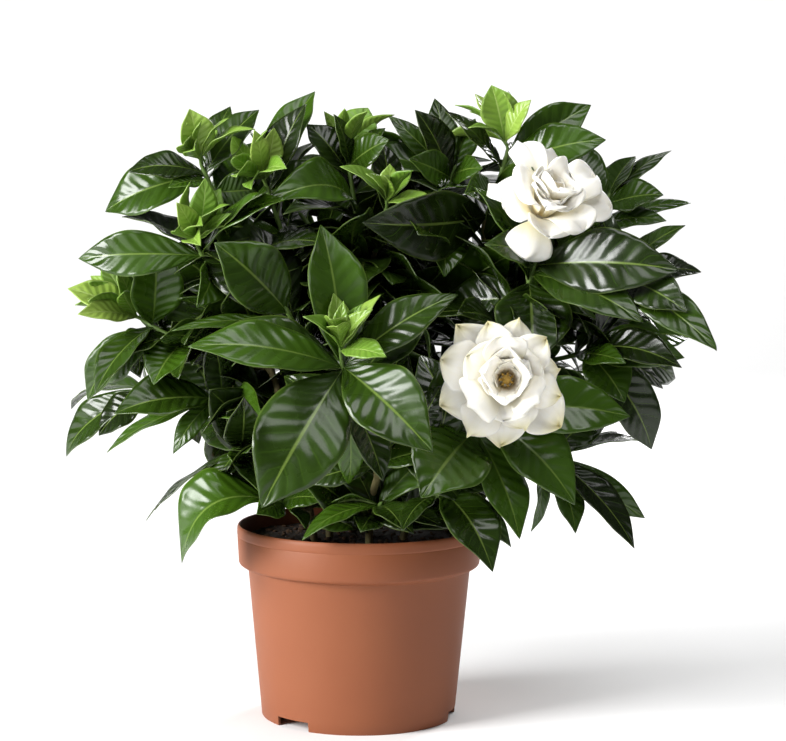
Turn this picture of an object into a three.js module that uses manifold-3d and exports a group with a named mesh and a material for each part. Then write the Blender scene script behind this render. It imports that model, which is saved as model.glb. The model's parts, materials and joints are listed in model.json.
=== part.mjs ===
// Potted gardenia: a flowering shrub in a terracotta-coloured nursery pot.
// Millimetres, +Z up. The origin is on the ground under the middle of the pot, and the plant's best
// side faces -Y. Places on the plant are given as they are seen from the front: u across and v up on
// the plane through the pot's axis, and y in depth, where a minus is towards the viewer.

import * as THREE from 'three';
import { mergeVertices } from 'three/addons/utils/BufferGeometryUtils.js';
import Module from 'manifold-3d';

const wasm = await Module();
wasm.setup();

// Pot, a thin moulded shell
const POT_HEIGHT = 110;
const RIM_RADIUS = 70;
const RIM_TOP_RADIUS = 69.2;
const BAND_DEPTH = 24;
const BAND_FOOT_RADIUS = 69;
const BAND_SLOPE = 3;
const BODY_TOP_RADIUS = 63.7;
const FOOT_RADIUS = 55.5;
const POT_WALL = 1.6;
const LIP_WIDTH = 0.9;
const LIP_DROP = 2;
const LIP_BAND = 6;
const FLOOR_UNDERSIDE = 6.4;
const FLOOR_THICKNESS = 1.6;
const NOTCH_HEIGHT = 5.4;
const NOTCH_WIDTH = 23;
const NOTCH_DEPTH = 20;
const NOTCH_BEARINGS = [-131, -11, 109];
const DRAIN_RADIUS = 4;
const DRAIN_CIRCLE = 40;
const DRAIN_COUNT = 6;
const DRAIN_SIDES = 6;
const POT_SIDES = 32;

// Soil
const SOIL_DROP = 9;
const SOIL_BUMP = 1.6;
const SOIL_RINGS = 3;
const SOIL_SEED = 11;
const ROOT_DEPTH = 24;

// Fits: touching pieces keep a seat, a stem's hole in the soil stands a sleeve away from it with a
// wider socket under its foot, and leaves keep clear of everything else
const SEAT = 0.3;
const SLEEVE = 0.36;
const SOCKET = 1.2;
const CLEARANCE = 0.6;

// Stems
const WOOD_RADIUS = 2.3;
const BRANCH_RADIUS = 1.7;
const SHOOT_RADIUS = 1.4;
const TIP_RADIUS = 1.0;
const WOOD_SIDES = 5;
const SHOOT_SIDES = 3;
const WOOD_STEPS = 6;
const BRANCH_STEPS = 2;
const SHOOT_STEPS = 2;
const SHOOT_SAG = 0.06;
const BRANCH_REACH = 0.35;
const GROWTH_REACH = 0.5;

// Leaves and petals
const LEAF_THICKNESS = 0.8;
const LEAF_FOLD = 0.22;
const LEAF_ROWS = [0.22, 0.52, 0.82];
const SMALL_LEAF_ROWS = [0.3, 0.72];
const LEAF_COLUMNS = [-1, 0, 1];
const FLAT_COLUMNS = [-1, 1];
const LARGE_LEAF = { rows: LEAF_ROWS, columns: LEAF_COLUMNS, fold: LEAF_FOLD };
const SMALL_LEAF = { rows: SMALL_LEAF_ROWS, columns: LEAF_COLUMNS, fold: LEAF_FOLD };
const FLAT_LEAF = { rows: SMALL_LEAF_ROWS, columns: FLAT_COLUMNS, fold: 0 };
const SLIM = 17;
const BROAD = 24;
const BREADTH = 1.15;
const JOIN_SHARE = 0.14;
const BARK_DEPTH = 0.35;
const LAST_NODE = 0.92;
const GROWTH_RANK = 100;
const PETAL_THICKNESS = 0.8;
const PETAL_ROWS = [0.38, 0.82];
const PETAL_COLUMNS = [-1, 0, 1];

// The viewer's eye
const EYE = new THREE.Vector3(18.5, -1300, 321);

const UP = new THREE.Vector3(0, 0, 1);

// The point that is seen at u, v from the front and stands y deep
function seen(u, v, y) {
  const reach = 1 - y / EYE.y;
  return new THREE.Vector3(EYE.x + (u - EYE.x) * reach, y, EYE.z + (v - EYE.z) * reach);
}

// Seeded random numbers from 0 to 1
function seeded(seed) {
  let state = seed >>> 0;
  return () => {
    state = (state + 0x6d2b79f5) >>> 0;
    let mixed = Math.imul(state ^ (state >>> 15), state | 1);
    mixed ^= mixed + Math.imul(mixed ^ (mixed >>> 7), mixed | 61);
    return ((mixed ^ (mixed >>> 14)) >>> 0) / 4294967296;
  };
}

// A closed geometry as a solid: shared corners are merged and collapsed faces dropped
function solidOf(geometry) {
  const bare = new THREE.BufferGeometry();
  bare.setAttribute('position', geometry.getAttribute('position').clone());
  bare.setIndex(geometry.index ? geometry.index.clone() : null);
  const merged = mergeVertices(bare, 1e-4);
  const places = merged.getAttribute('position').array;
  const corners = merged.index.array;
  const kept = [];
  let volume = 0;
  for (let i = 0; i < corners.length; i += 3) {
    const [a, b, c] = [corners[i], corners[i + 1], corners[i + 2]];
    if (a !== b && b !== c && c !== a) {
      kept.push(a, b, c);
      const [p, q, r] = [a, b, c].map((k) => new THREE.Vector3().fromArray(places, 3 * k));
      volume += p.dot(q.cross(r));
    }
  }
  if (volume < 0) {
    kept.reverse();
  }
  const options = { numProp: 3, vertProperties: new Float32Array(places), triVerts: new Uint32Array(kept) };
  return new wasm.Manifold(new wasm.Mesh(options));
}

function geometryOf(solid) {
  const mesh = solid.getMesh();
  const geometry = new THREE.BufferGeometry();
  geometry.setAttribute('position', new THREE.BufferAttribute(mesh.vertProperties, 3));
  geometry.setIndex(new THREE.BufferAttribute(mesh.triVerts, 1));
  geometry.computeVertexNormals();
  return geometry;
}

function joined(solids) {
  return solids.reduce((whole, next) => whole.add(next));
}

// A stem of a few sides along a curve
function rod(curve, radius, steps, sides = SHOOT_SIDES) {
  const corners = [];
  for (let k = 0; k < sides; k += 1) {
    const angle = (k * 2 * Math.PI) / sides;
    corners.push(new THREE.Vector2(radius * Math.cos(angle), radius * Math.sin(angle)));
  }
  const section = new THREE.Shape(corners);
  return solidOf(new THREE.ExtrudeGeometry(section, { steps, bevelEnabled: false, extrudePath: curve }));
}

// Pot: one turned shell, with notches through its foot ring and drain holes in its floor
function makePot() {
  const bandFoot = POT_HEIGHT - BAND_DEPTH;
  const wallSlope = (BODY_TOP_RADIUS - FOOT_RADIUS) / bandFoot;
  const floorTop = FLOOR_UNDERSIDE + FLOOR_THICKNESS;
  const bodyRadius = (z) => FOOT_RADIUS + wallSlope * z;
  const profile = [
    [0, FLOOR_UNDERSIDE],
    [bodyRadius(FLOOR_UNDERSIDE) - POT_WALL, FLOOR_UNDERSIDE],
    [FOOT_RADIUS - POT_WALL, 0],
    [FOOT_RADIUS, 0],
    [BODY_TOP_RADIUS, bandFoot],
    [BAND_FOOT_RADIUS - LIP_WIDTH, bandFoot + 0.5 * BAND_SLOPE],
    [BAND_FOOT_RADIUS, bandFoot + BAND_SLOPE],
    [RIM_RADIUS, POT_HEIGHT - LIP_BAND],
    [RIM_RADIUS, POT_HEIGHT - LIP_DROP],
    [RIM_TOP_RADIUS, POT_HEIGHT],
    [RIM_TOP_RADIUS - LIP_WIDTH, POT_HEIGHT],
    [RIM_RADIUS - POT_WALL, POT_HEIGHT - LIP_DROP],
    [BAND_FOOT_RADIUS - POT_WALL, bandFoot + BAND_SLOPE],
    [BODY_TOP_RADIUS - POT_WALL, bandFoot - 1],
    [bodyRadius(floorTop) - POT_WALL, floorTop],
    [0, floorTop],
  ];
  const outline = profile.map(([radius, z]) => new THREE.Vector2(radius, z));
  const shell = new THREE.LatheGeometry(outline, POT_SIDES).rotateX(Math.PI / 2);
  let pot = solidOf(shell);
  for (const bearing of NOTCH_BEARINGS) {
    const notch = new THREE.BoxGeometry(NOTCH_DEPTH, NOTCH_WIDTH, 2 * NOTCH_HEIGHT);
    notch.translate(FOOT_RADIUS, 0, 0).rotateZ(THREE.MathUtils.degToRad(bearing));
    pot = pot.subtract(solidOf(notch));
  }
  for (let k = 0; k < DRAIN_COUNT; k += 1) {
    const drain = new THREE.CylinderGeometry(DRAIN_RADIUS, DRAIN_RADIUS, 4 * FLOOR_THICKNESS, DRAIN_SIDES);
    drain.rotateX(Math.PI / 2).translate(DRAIN_CIRCLE, 0, FLOOR_UNDERSIDE + FLOOR_THICKNESS / 2);
    drain.rotateZ((k * 2 * Math.PI) / DRAIN_COUNT);
    pot = pot.subtract(solidOf(drain));
  }
  return pot;
}

// Soil: a block that follows the pot's inside at a seat's distance, with an uneven top
function makeSoil() {
  const bandFoot = POT_HEIGHT - BAND_DEPTH;
  const top = POT_HEIGHT - SOIL_DROP;
  const floor = FLOOR_UNDERSIDE + FLOOR_THICKNESS + SEAT;
  const inset = POT_WALL + 2 * SEAT;
  const wallSlope = (BODY_TOP_RADIUS - FOOT_RADIUS) / bandFoot;
  const edge = BAND_FOOT_RADIUS - inset;
  const profile = [
    [0, floor],
    [FOOT_RADIUS + wallSlope * floor - inset, floor],
    [BODY_TOP_RADIUS - inset, bandFoot - 1],
    [edge, bandFoot + BAND_SLOPE],
  ];
  for (let ring = SOIL_RINGS; ring >= 0; ring -= 1) {
    profile.push([(edge * ring) / SOIL_RINGS, top]);
  }
  const outline = profile.map(([radius, z]) => new THREE.Vector2(radius, z));
  const block = new THREE.LatheGeometry(outline, POT_SIDES / 2).rotateX(Math.PI / 2);
  block.deleteAttribute('normal');
  block.deleteAttribute('uv');
  const merged = mergeVertices(block, 1e-4);
  const place = merged.getAttribute('position');
  const draw = seeded(SOIL_SEED);
  for (let i = 0; i < place.count; i += 1) {
    if (Math.abs(place.getZ(i) - top) < 0.01) {
      place.setZ(i, top + SOIL_BUMP * (2 * draw() - 1));
    }
  }
  return solidOf(merged);
}

// A closed blade between two pointed ends. place(t, s) gives the middle of the blade at t along and s
// across, and the way its upper face looks. Both faces are split into triangles alike.
function blade(rows, columns, thickness, place) {
  const places = [];
  const corners = [];
  const add = (t, s) => {
    const { at, face } = place(t, s);
    places.push(...at.clone().addScaledVector(face, thickness / 2).toArray());
    places.push(...at.clone().addScaledVector(face, -thickness / 2).toArray());
    return places.length / 3 - 2;
  };
  const skin = (a, b, c) => corners.push(a, b, c, c + 1, b + 1, a + 1);
  const root = add(0, 0);
  const grid = rows.map((t) => columns.map((s) => add(t, s)));
  const tip = add(1, 0);
  const last = grid[grid.length - 1];
  for (let j = 0; j + 1 < columns.length; j += 1) {
    skin(root, grid[0][j + 1], grid[0][j]);
    for (let i = 0; i + 1 < rows.length; i += 1) {
      const [a, b, c, e] = [grid[i][j], grid[i][j + 1], grid[i + 1][j + 1], grid[i + 1][j]];
      if (columns[j] < 0) {
        skin(a, b, e);
        skin(b, c, e);
      } else {
        skin(a, b, c);
        skin(a, c, e);
      }
    }
    skin(last[j], last[j + 1], tip);
  }
  const right = grid.map((row) => row[columns.length - 1]);
  const left = grid.map((row) => row[0]).reverse();
  const rim = [root, ...right, tip, ...left];
  rim.forEach((a, k) => {
    const b = rim[(k + 1) % rim.length];
    corners.push(b, a, a + 1, b, a + 1, b + 1);
  });
  const geometry = new THREE.BufferGeometry();
  geometry.setAttribute('position', new THREE.Float32BufferAttribute(places, 3));
  geometry.setIndex(corners);
  return solidOf(geometry);
}

// A leaf's half width along its length: a long oval with a drawn-out tip
function leafOutline(t) {
  return Math.sin(Math.PI * t ** 1.08) ** 0.9;
}

// A leaf from base to tip. Its upper face looks the way of look, turned towards the sky by turn
// degrees, and arch is how high its middle bows, as a share of its length.
function leafPlace({ base, tip, width, look, turn, arch, fold }) {
  const length = base.distanceTo(tip);
  const along = tip.clone().sub(base).divideScalar(length);
  const facing = look.clone().projectOnPlane(along).normalize();
  const skyward = along.clone().cross(facing);
  if (0.3 * skyward.x + skyward.z < 0) {
    skyward.negate();
  }
  const angle = THREE.MathUtils.degToRad(turn);
  const face = facing.multiplyScalar(Math.cos(angle)).addScaledVector(skyward, Math.sin(angle));
  const across = along.clone().cross(face);
  return (t, s) => {
    const half = (width / 2) * leafOutline(t);
    const lift = arch * length * 4 * t * (1 - t) + fold * half * Math.abs(s);
    const at = base.clone().addScaledVector(along, length * t);
    at.addScaledVector(across, s * half).addScaledVector(face, lift);
    const slope = arch * 4 * (1 - 2 * t);
    return { at, face: face.clone().addScaledVector(along, -slope).normalize() };
  };
}

// A petal's half width along its length: narrow at the claw, broad and round near the end
function petalOutline(t) {
  return Math.sin(Math.PI * t ** 1.8) ** 0.7;
}

// A petal from the flower's heart to its tip. lift is how far it stands up from the heart before it
// bends over, and cup is how far its edges rise, as a share of its half width.
function petalPlace({ heart, axis, tip, width, lift, cup }) {
  const outward = tip.clone().sub(heart).projectOnPlane(axis).normalize();
  const across = outward.clone().cross(axis);
  const rise = CLAW_RISE * tip.clone().sub(heart).dot(axis);
  const root = heart.clone().addScaledVector(outward, CLAW_RING).addScaledVector(axis, rise);
  const knee = root.clone().lerp(tip, 0.5).addScaledVector(axis, lift);
  const path = new THREE.QuadraticBezierCurve3(root, knee, tip);
  return (t, s) => {
    const face = across.clone().cross(path.getTangent(t)).normalize();
    const half = (width / 2) * petalOutline(t);
    const at = path.getPoint(t).addScaledVector(across, s * half);
    return { at: at.addScaledVector(face, cup * half * s * s), face };
  };
}

// Woody stems. Each rises from its own hole in the soil, at x and y, bends, and ends in a crown that
// the upper shoots branch from.
const WOOD = {
  stem_left: { soil: [-24, -12], bend: [-40, -4, 160], crown: [-56, 4, 215] },
  stem_front: { soil: [6, -26], bend: [4, -48, 128], crown: [16, -60, 160] },
  stem_middle: { soil: [-17, 4], bend: [-22, 10, 170], crown: [4, 18, 255] },
  stem_right: { soil: [22, 2], bend: [52, 2, 140], crown: [92, 6, 225] },
  stem_rear: { soil: [2, 26], bend: [0, 60, 150], crown: [2, 76, 225] },
};

// Shoots. from names the woody stem and how far up it the branch leaves, or on names the shoot whose
// end it grows from. foot and end are places as seen. Each leaf is: how far up the shoot it sits, its
// tip as seen (u, v, y), its width, its turn and its arch.
const SHOOTS = {
  shoot_front_whorl: {
    from: ['stem_front', 0.75], foot: [0, 158, -78], end: [-11, 204, -100],
    leaves: [
      [0.95, 41, 153, -138, 33, 12, 0.1],
      [0.9, -56, 120, -142, 42, 8, 0.08],
      [0.95, -97, 213, -126, 26, 36, 0.08],
      [0.9, -85, 219, -96, 26, 30, 0.08],
      [0.98, -22, 281, -92, 29, 20, 0.06],
      [0.92, 54, 243, -104, 22, 28, 0.08],
      [0.6, 14, 135, -104, 19, 25, 0.05],
      [0.7, -6, 131, -88, 14, 45, 0.1],
    ],
  },
  shoot_front_flower: {
    from: ['stem_front', 0.97], foot: [54, 152, -66], end: [80, 182, -52],
    leaves: [
      [0.85, 154, 174, -62, 28, 22, 0.1],
      [0.35, 36, 127, -112, 39, 12, 0.08],
      [0.7, 124, 123, -76, 32, 28, 0.12],
      [0.45, 93, 103, -92, 24, 30, 0.06],
      [0.2, 34, 208, -50, 24, 15, 0.05],
    ],
  },
  shoot_rear_flower: {
    from: ['stem_right', 0.85], foot: [90, 232, -10], end: [99, 262, -26],
    leaves: [
      [0.9, 71, 271, -66, 19, 62, 0.12],
      [0.6, 98, 203, -52, 38, 10, 0.06],
      [0.9, 179, 258, -66, 32, 20, 0.08],
      [0.75, 160, 229, -72, 26, 34, 0.08],
      [0.5, 134, 230, -58, 12, 60, 0.05],
      [0.3, 48, 236, 6, 26, 20, 0.05],
    ],
  },
  shoot_rim_right: {
    from: ['stem_front', 0.35], foot: [34, 121, -44], end: [48, 130, -66],
    leaves: [
      [0.9, 77, 84, -98, 27, 26, 0.16],
      [1, 88, 98, -66, 16, 40, 0.1],
      [0.75, 24, 107, -82, 14, 50, 0.1],
      [0.7, 62, 118, -30, 22, 36, 0.08],
    ],
  },
  shoot_rim_middle: {
    from: ['stem_front', 0.25], foot: [8, 116, -44], end: [12, 121, -56],
    leaves: [
      [0.9, -33, 102, -80, 14, 55, 0.1],
      [1, 25, 108, -84, 16, 30, 0.1],
      [0.9, -22, 117, -54, 14, 60, 0.16],
      [1, 27, 125, -34, 12, 68, 0.12],
    ],
  },
  shoot_rim_left: {
    from: ['stem_left', 0.3], foot: [-34, 117, -26], end: [-46, 122, -36],
    leaves: [
      [1, -103, 88, -42, 38, 50, 0.36],
      [0.8, -30, 107, -66, 12, 50, 0.1],
      [0.8, -58, 116, -58, 14, 60, 0.05],
      [0.9, -20, 124, -58, 16, 44, 0.1],
      [0.8, -72, 132, 8, 20, 40, 0.08],
    ],
  },
  shoot_low_left: {
    from: ['stem_left', 0.55], foot: [-52, 142, -10], end: [-70, 154, -18],
    leaves: [
      [1, -124, 113, -22, 13, 45, 0.05],
      [0.9, -86, 123, -40, 14, 40, 0.1],
      [0.8, -90, 121, -6, 12, 50, 0.1],
      [0.9, -56, 128, -58, 24, 25, 0.08],
      [1, -66, 180, -48, 20, 30, 0.05],
    ],
  },
  shoot_left_lower: {
    from: ['stem_left', 0.75], foot: [-62, 172, 8], end: [-84, 182, 6],
    leaves: [
      [1, -146, 152, 4, 15, 60, 0.05],
      [1, -107, 150, -12, 12, 55, 0.14],
      [0.7, -57, 171, -50, 22, 24, 0.06],
      [1, -140, 174, -22, 26, 45, 0.08],
      [0.8, -84, 218, -30, 20, 30, 0.05],
      [0.2, -62, 128, 34, 22, 20, 0.05],
    ],
  },
  shoot_left_far: {
    from: ['stem_left', 0.85], foot: [-98, 176, 54], end: [-124, 188, 84],
    leaves: [
      [0.9, -170, 148, 106, 22, 40, 0.12],
      [1, -166, 177, 124, 22, 40, 0.1],
      [0.8, -150, 160, 76, 22, 36, 0.1],
      [0.7, -112, 212, 84, 24, 30, 0.08],
    ],
  },
  shoot_left: {
    from: ['stem_left', 0.97], foot: [-92, 210, 14], end: [-121, 224, 22],
    leaves: [
      [0.9, -152, 185, -6, 18, 44, 0.08],
      [1, -157, 180, 26, 20, 36, 0.12],
      [0.8, -148, 190, 44, 22, 36, 0.1],
      [1, -152, 262, 42, 15, 46, 0.05],
      [1, -133, 262, 26, 16, 40, 0.05],
      [0.95, -116, 270, -6, 27, 12, 0.06],
      [0.5, -106, 224, -18, 12, 50, 0.05],
      [0.3, -118, 190, -14, 24, 30, 0.08],
      [0.5, -138, 204, -2, 22, 32, 0.08],
    ],
  },
  shoot_left_upper: {
    from: ['stem_left', 0.97], foot: [-72, 238, 4], end: [-92, 266, -6],
    leaves: [
      [1, -135, 286, -8, 22, 30, 0.08],
      [0.9, -161, 261, 8, 23, 44, 0.1],
      [0.7, -92, 234, -40, 18, 35, 0.1],
      [0.95, -45, 297, -16, 20, 34, 0.08],
      [0.5, -112, 240, 30, 22, 45, 0.08],
      [0.2, -50, 264, 34, 24, 30, 0.06],
      [0.1, -112, 214, 36, 24, 30, 0.06],
    ],
  },
  shoot_top_left: {
    from: ['stem_left', 0.97], foot: [-74, 280, -6], end: [-90, 312, -6],
    leaves: [
      [1, -59, 346, 0, 22, 25, 0.05],
      [0.9, -75, 348, 18, 16, 30, 0.05],
      [0.95, -132, 311, -18, 18, 48, 0.1],
      [0.9, -146, 288, 2, 27, 30, 0.1],
      [0.8, -109, 302, -26, 12, 50, 0.05],
      [0.6, -60, 300, -30, 18, 40, 0.05],
      [0.3, -62, 328, 24, 22, 30, 0.05],
    ],
  },
  shoot_top_middle_left: {
    from: ['stem_middle', 0.85], foot: [-40, 264, 8], end: [-54, 302, -2],
    leaves: [
      [1, -28, 357, 20, 22, 40, 0.05],
      [0.95, -33, 349, 0, 20, 20, 0.05],
      [0.9, -22, 316, -16, 15, 50, 0.1],
      [0.35, -82, 268, -30, 24, 26, 0.05],
      [0.5, -64, 338, 26, 14, 50, 0.05],
    ],
  },
  shoot_top_middle: {
    from: ['stem_middle', 0.97], foot: [0, 272, 14], end: [-8, 318, 12],
    leaves: [
      [0.4, -52, 296, -44, 26, 50, 0.2],
      [0.95, 14, 329, -18, 18, 30, 0.05],
      [1, -15, 343, 8, 12, 50, 0.05],
      [0.8, -31, 338, 18, 20, 40, 0.06],
      [0.8, 12, 336, -8, 16, 40, 0.06],
      [0.3, -43, 290, -62, 16, 74, 0.05],
      [0.6, 30, 313, 20, 18, 45, 0.05],
    ],
  },
  shoot_top_middle_right: {
    from: ['stem_middle', 0.97], foot: [36, 272, 18], end: [52, 312, 18],
    leaves: [
      [0.95, -10, 321, 4, 18, 42, 0.08],
      [1, 15, 343, 26, 12, 50, 0.05],
      [1, 41, 353, 34, 16, 45, 0.05],
      [0.9, 31, 346, 6, 18, 42, 0.05],
      [0.8, 63, 342, 34, 20, 36, 0.05],
      [0.9, 28, 318, -14, 18, 36, 0.05],
      [1, 67, 314, -16, 15, 45, 0.05],
      [0.6, 80, 264, -34, 26, 32, 0.06],
      [0.3, 48, 259, -56, 24, 34, 0.1],
    ],
  },
  shoot_middle: {
    from: ['stem_middle', 0.9], foot: [8, 266, 2], end: [14, 290, -14],
    leaves: [
      [0.9, 12, 328, -6, 20, 22, 0.06],
    ],
  },
  shoot_middle_left: {
    from: ['stem_middle', 0.6], foot: [-32, 216, -14], end: [-42, 232, -34],
    leaves: [
      [0.95, -82, 270, -58, 32, 18, 0.08],
      [0.6, -107, 222, -50, 9, 45, 0.05],
    ],
  },
  shoot_top_right: {
    from: ['stem_right', 0.97], foot: [70, 284, 12], end: [82, 322, 12],
    leaves: [
      [0.9, 129, 350, 18, 22, 30, 0.06],
      [0.8, 137, 331, -2, 24, 32, 0.08],
      [0.8, 48, 346, 4, 16, 55, 0.05],
      [0.4, 60, 300, -34, 20, 35, 0.05],
      [0.06, 3, 281, -38, 34, 14, 0.08],
    ],
  },
  shoot_right_upper: {
    from: ['stem_right', 0.97], foot: [118, 262, 12], end: [139, 297, 12],
    leaves: [
      [1, 174, 326, 22, 13, 50, 0.05],
      [0.9, 170, 300, -4, 22, 45, 0.05],
      [0.95, 154, 322, 36, 18, 30, 0.05],
      [0.6, 172, 286, -10, 16, 55, 0.05],
      [0.5, 186, 297, 20, 14, 60, 0.05],
      [0.8, 118, 330, 30, 20, 30, 0.05],
    ],
  },
  shoot_right: {
    from: ['stem_right', 0.97], foot: [124, 238, -12], end: [148, 255, -36],
    leaves: [
      [1, 182, 283, -50, 15, 50, 0.06],
      [1, 193, 257, -34, 18, 44, 0.06],
      [0.9, 185, 234, -74, 22, 24, 0.08],
      [0.85, 203, 213, -100, 21, 40, 0.08],
      [0.5, 168, 246, -16, 15, 40, 0.05],
      [0.7, 187, 236, -26, 23, 32, 0.08],
    ],
  },
  shoot_right_lower: {
    from: ['stem_right', 0.75], foot: [104, 204, -14], end: [134, 212, -20],
    leaves: [
      [1, 182, 203, -34, 20, 40, 0.12],
      [0.9, 174, 190, -16, 16, 45, 0.08],
      [0.8, 151, 182, -44, 24, 30, 0.08],
      [0.95, 168, 154, -12, 24, 24, 0.12],
      [0.9, 187, 220, 6, 24, 40, 0.08],
      [0.7, 184, 208, -8, 23, 30, 0.12],
      [0.6, 162, 186, 6, 23, 30, 0.08],
      [0.6, 150, 205, -58, 14, 60, 0.05],
      [0.95, 182, 196, 34, 24, 30, 0.06],
    ],
  },
  shoot_right_bottom: {
    from: ['stem_right', 0.45], foot: [92, 148, -8], end: [112, 150, -14],
    leaves: [
      [1, 164, 114, -14, 16, 32, 0.06],
      [0.9, 159, 98, -32, 18, 36, 0.08],
      [0.8, 125, 106, -34, 17, 40, 0.06],
      [0.9, 165, 161, 14, 14, 62, 0.05],
      [0.5, 100, 106, -24, 12, 60, 0.08],
    ],
  },
  growth_front: {
    on: 'shoot_front_whorl', end: [-11, 213, -104],
    leaves: [
      [0.8, -15, 242, -102, 12, 30, 0.04],
      [0.7, 10, 242, -108, 11, 58, 0.04],
      [0.6, 14, 207, -128, 13, 45, 0.06],
    ],
  },
  growth_left: {
    on: 'shoot_left', end: [-130, 229, 20],
    leaves: [
      [0.9, -166, 244, 10, 19, 30, 0.06],
      [0.9, -147, 258, 32, 16, 36, 0.04],
      [0.7, -160, 230, -10, 13, 44, 0.05],
      [0.8, -138, 256, 14, 11, 36, 0.03],
    ],
  },
  growth_top_left: {
    on: 'shoot_top_left', end: [-91, 319, -10],
    leaves: [
      [0.9, -97, 345, -20, 18, 16, 0.04],
      [0.8, -82, 334, -4, 9, 40, 0.03],
    ],
  },
  growth_left_upper: {
    on: 'shoot_left_upper', end: [-92, 273, -15],
    leaves: [
      [0.9, -88, 306, -26, 14, 25, 0.04],
      [0.8, -80, 301, -10, 14, 30, 0.04],
      [1, -104, 292, -28, 11, 30, 0.04],
      [0.7, -75, 287, -32, 8, 45, 0.03],
    ],
  },
  growth_top_middle_left: {
    on: 'shoot_top_middle_left', end: [-56, 308, -8],
    leaves: [
      [0.8, -60, 333, -16, 11, 25, 0.03],
      [0.9, -49, 335, -6, 13, 30, 0.03],
      [0.6, -46, 320, -20, 8, 45, 0.03],
    ],
  },
  growth_top_middle: {
    on: 'shoot_top_middle', end: [-8, 326, 12],
    leaves: [
      [0.9, 3, 347, 18, 20, 18, 0.04],
      [0.9, -12, 344, 26, 9, 45, 0.03],
    ],
  },
  growth_middle: {
    on: 'shoot_middle', end: [14, 296, -18],
    leaves: [
      [0.8, 16, 315, -24, 11, 15, 0.04],
      [0.7, 28, 312, -12, 8, 30, 0.04],
      [0.6, 41, 296, -28, 10, 50, 0.06],
    ],
  },
  growth_top_right: {
    on: 'shoot_top_right', end: [79, 330, 12],
    leaves: [
      [0.9, 73, 360, 10, 20, 20, 0.04],
      [1, 83, 357, 20, 15, 32, 0.04],
      [0.7, 64, 356, 24, 13, 45, 0.04],
      [0.8, 94, 352, 4, 13, 45, 0.04],
    ],
  },
};

// The far side, which the front hides: shoots on a ring behind, by their bearing from +X
const FAR_SHOOTS = [
  { bearing: 22, radius: 104, height: 262, from: ['stem_right', 0.97] },
  { bearing: 38, radius: 100, height: 172, from: ['stem_right', 0.7] },
  { bearing: 66, radius: 94, height: 222, from: ['stem_rear', 0.9] },
  { bearing: 84, radius: 66, height: 290, from: ['stem_rear', 0.97] },
  { bearing: 92, radius: 89, height: 160, from: ['stem_rear', 0.35] },
  { bearing: 116, radius: 94, height: 240, from: ['stem_rear', 0.86] },
  { bearing: 142, radius: 98, height: 178, from: ['stem_rear', 0.75] },
  { bearing: 158, radius: 104, height: 250, from: ['stem_left', 0.97] },
  { bearing: 150, radius: 66, height: 228, from: ['stem_middle', 0.6] },
  { bearing: 150, radius: 40, height: 285, from: ['stem_middle', 0.9] },
  { bearing: 40, radius: 40, height: 226, from: ['stem_middle', 0.7] },
  { bearing: -4, radius: 40, height: 180, from: ['stem_front', 0.6] },
  { bearing: 10, radius: 100, height: 186, from: ['stem_right', 0.6] },
];
const FAR_SHOOT_LENGTH = 42;
const FAR_RUN = 0.75;
const FAR_RISE = 0.65;

// Leaves set by rule, in whorls at shares of a shoot's length: how they lean away from the shoot, how
// long they are, how broad for their length, and how far behind their base the near ones reach
const WHORL = 3;
const FAR_WHORLS = [0.5, 0.92];
const NEAR_WHORLS = [0.6];
const LEAN = [48, 78];
const FILL_LENGTH = [58, 76];
const FILL_BREADTH = 0.48;
const FILL_ARCH = 0.1;
const FILL_SKY = 2;
const AWAY = 8;
const FILL_SEED = 7;

// What the plant covers as seen from the front: leaves placed by rule stay inside it
const COVER = [
  [-62, 120], [-88, 150], [-112, 176], [-142, 190], [-140, 225], [-122, 258], [-104, 298],
  [-66, 326], [-30, 334], [20, 334], [64, 334], [110, 332], [148, 300], [160, 272], [178, 240],
  [166, 206], [146, 190], [118, 172], [116, 132], [84, 122], [44, 120], [0, 114], [-36, 114],
];

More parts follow.
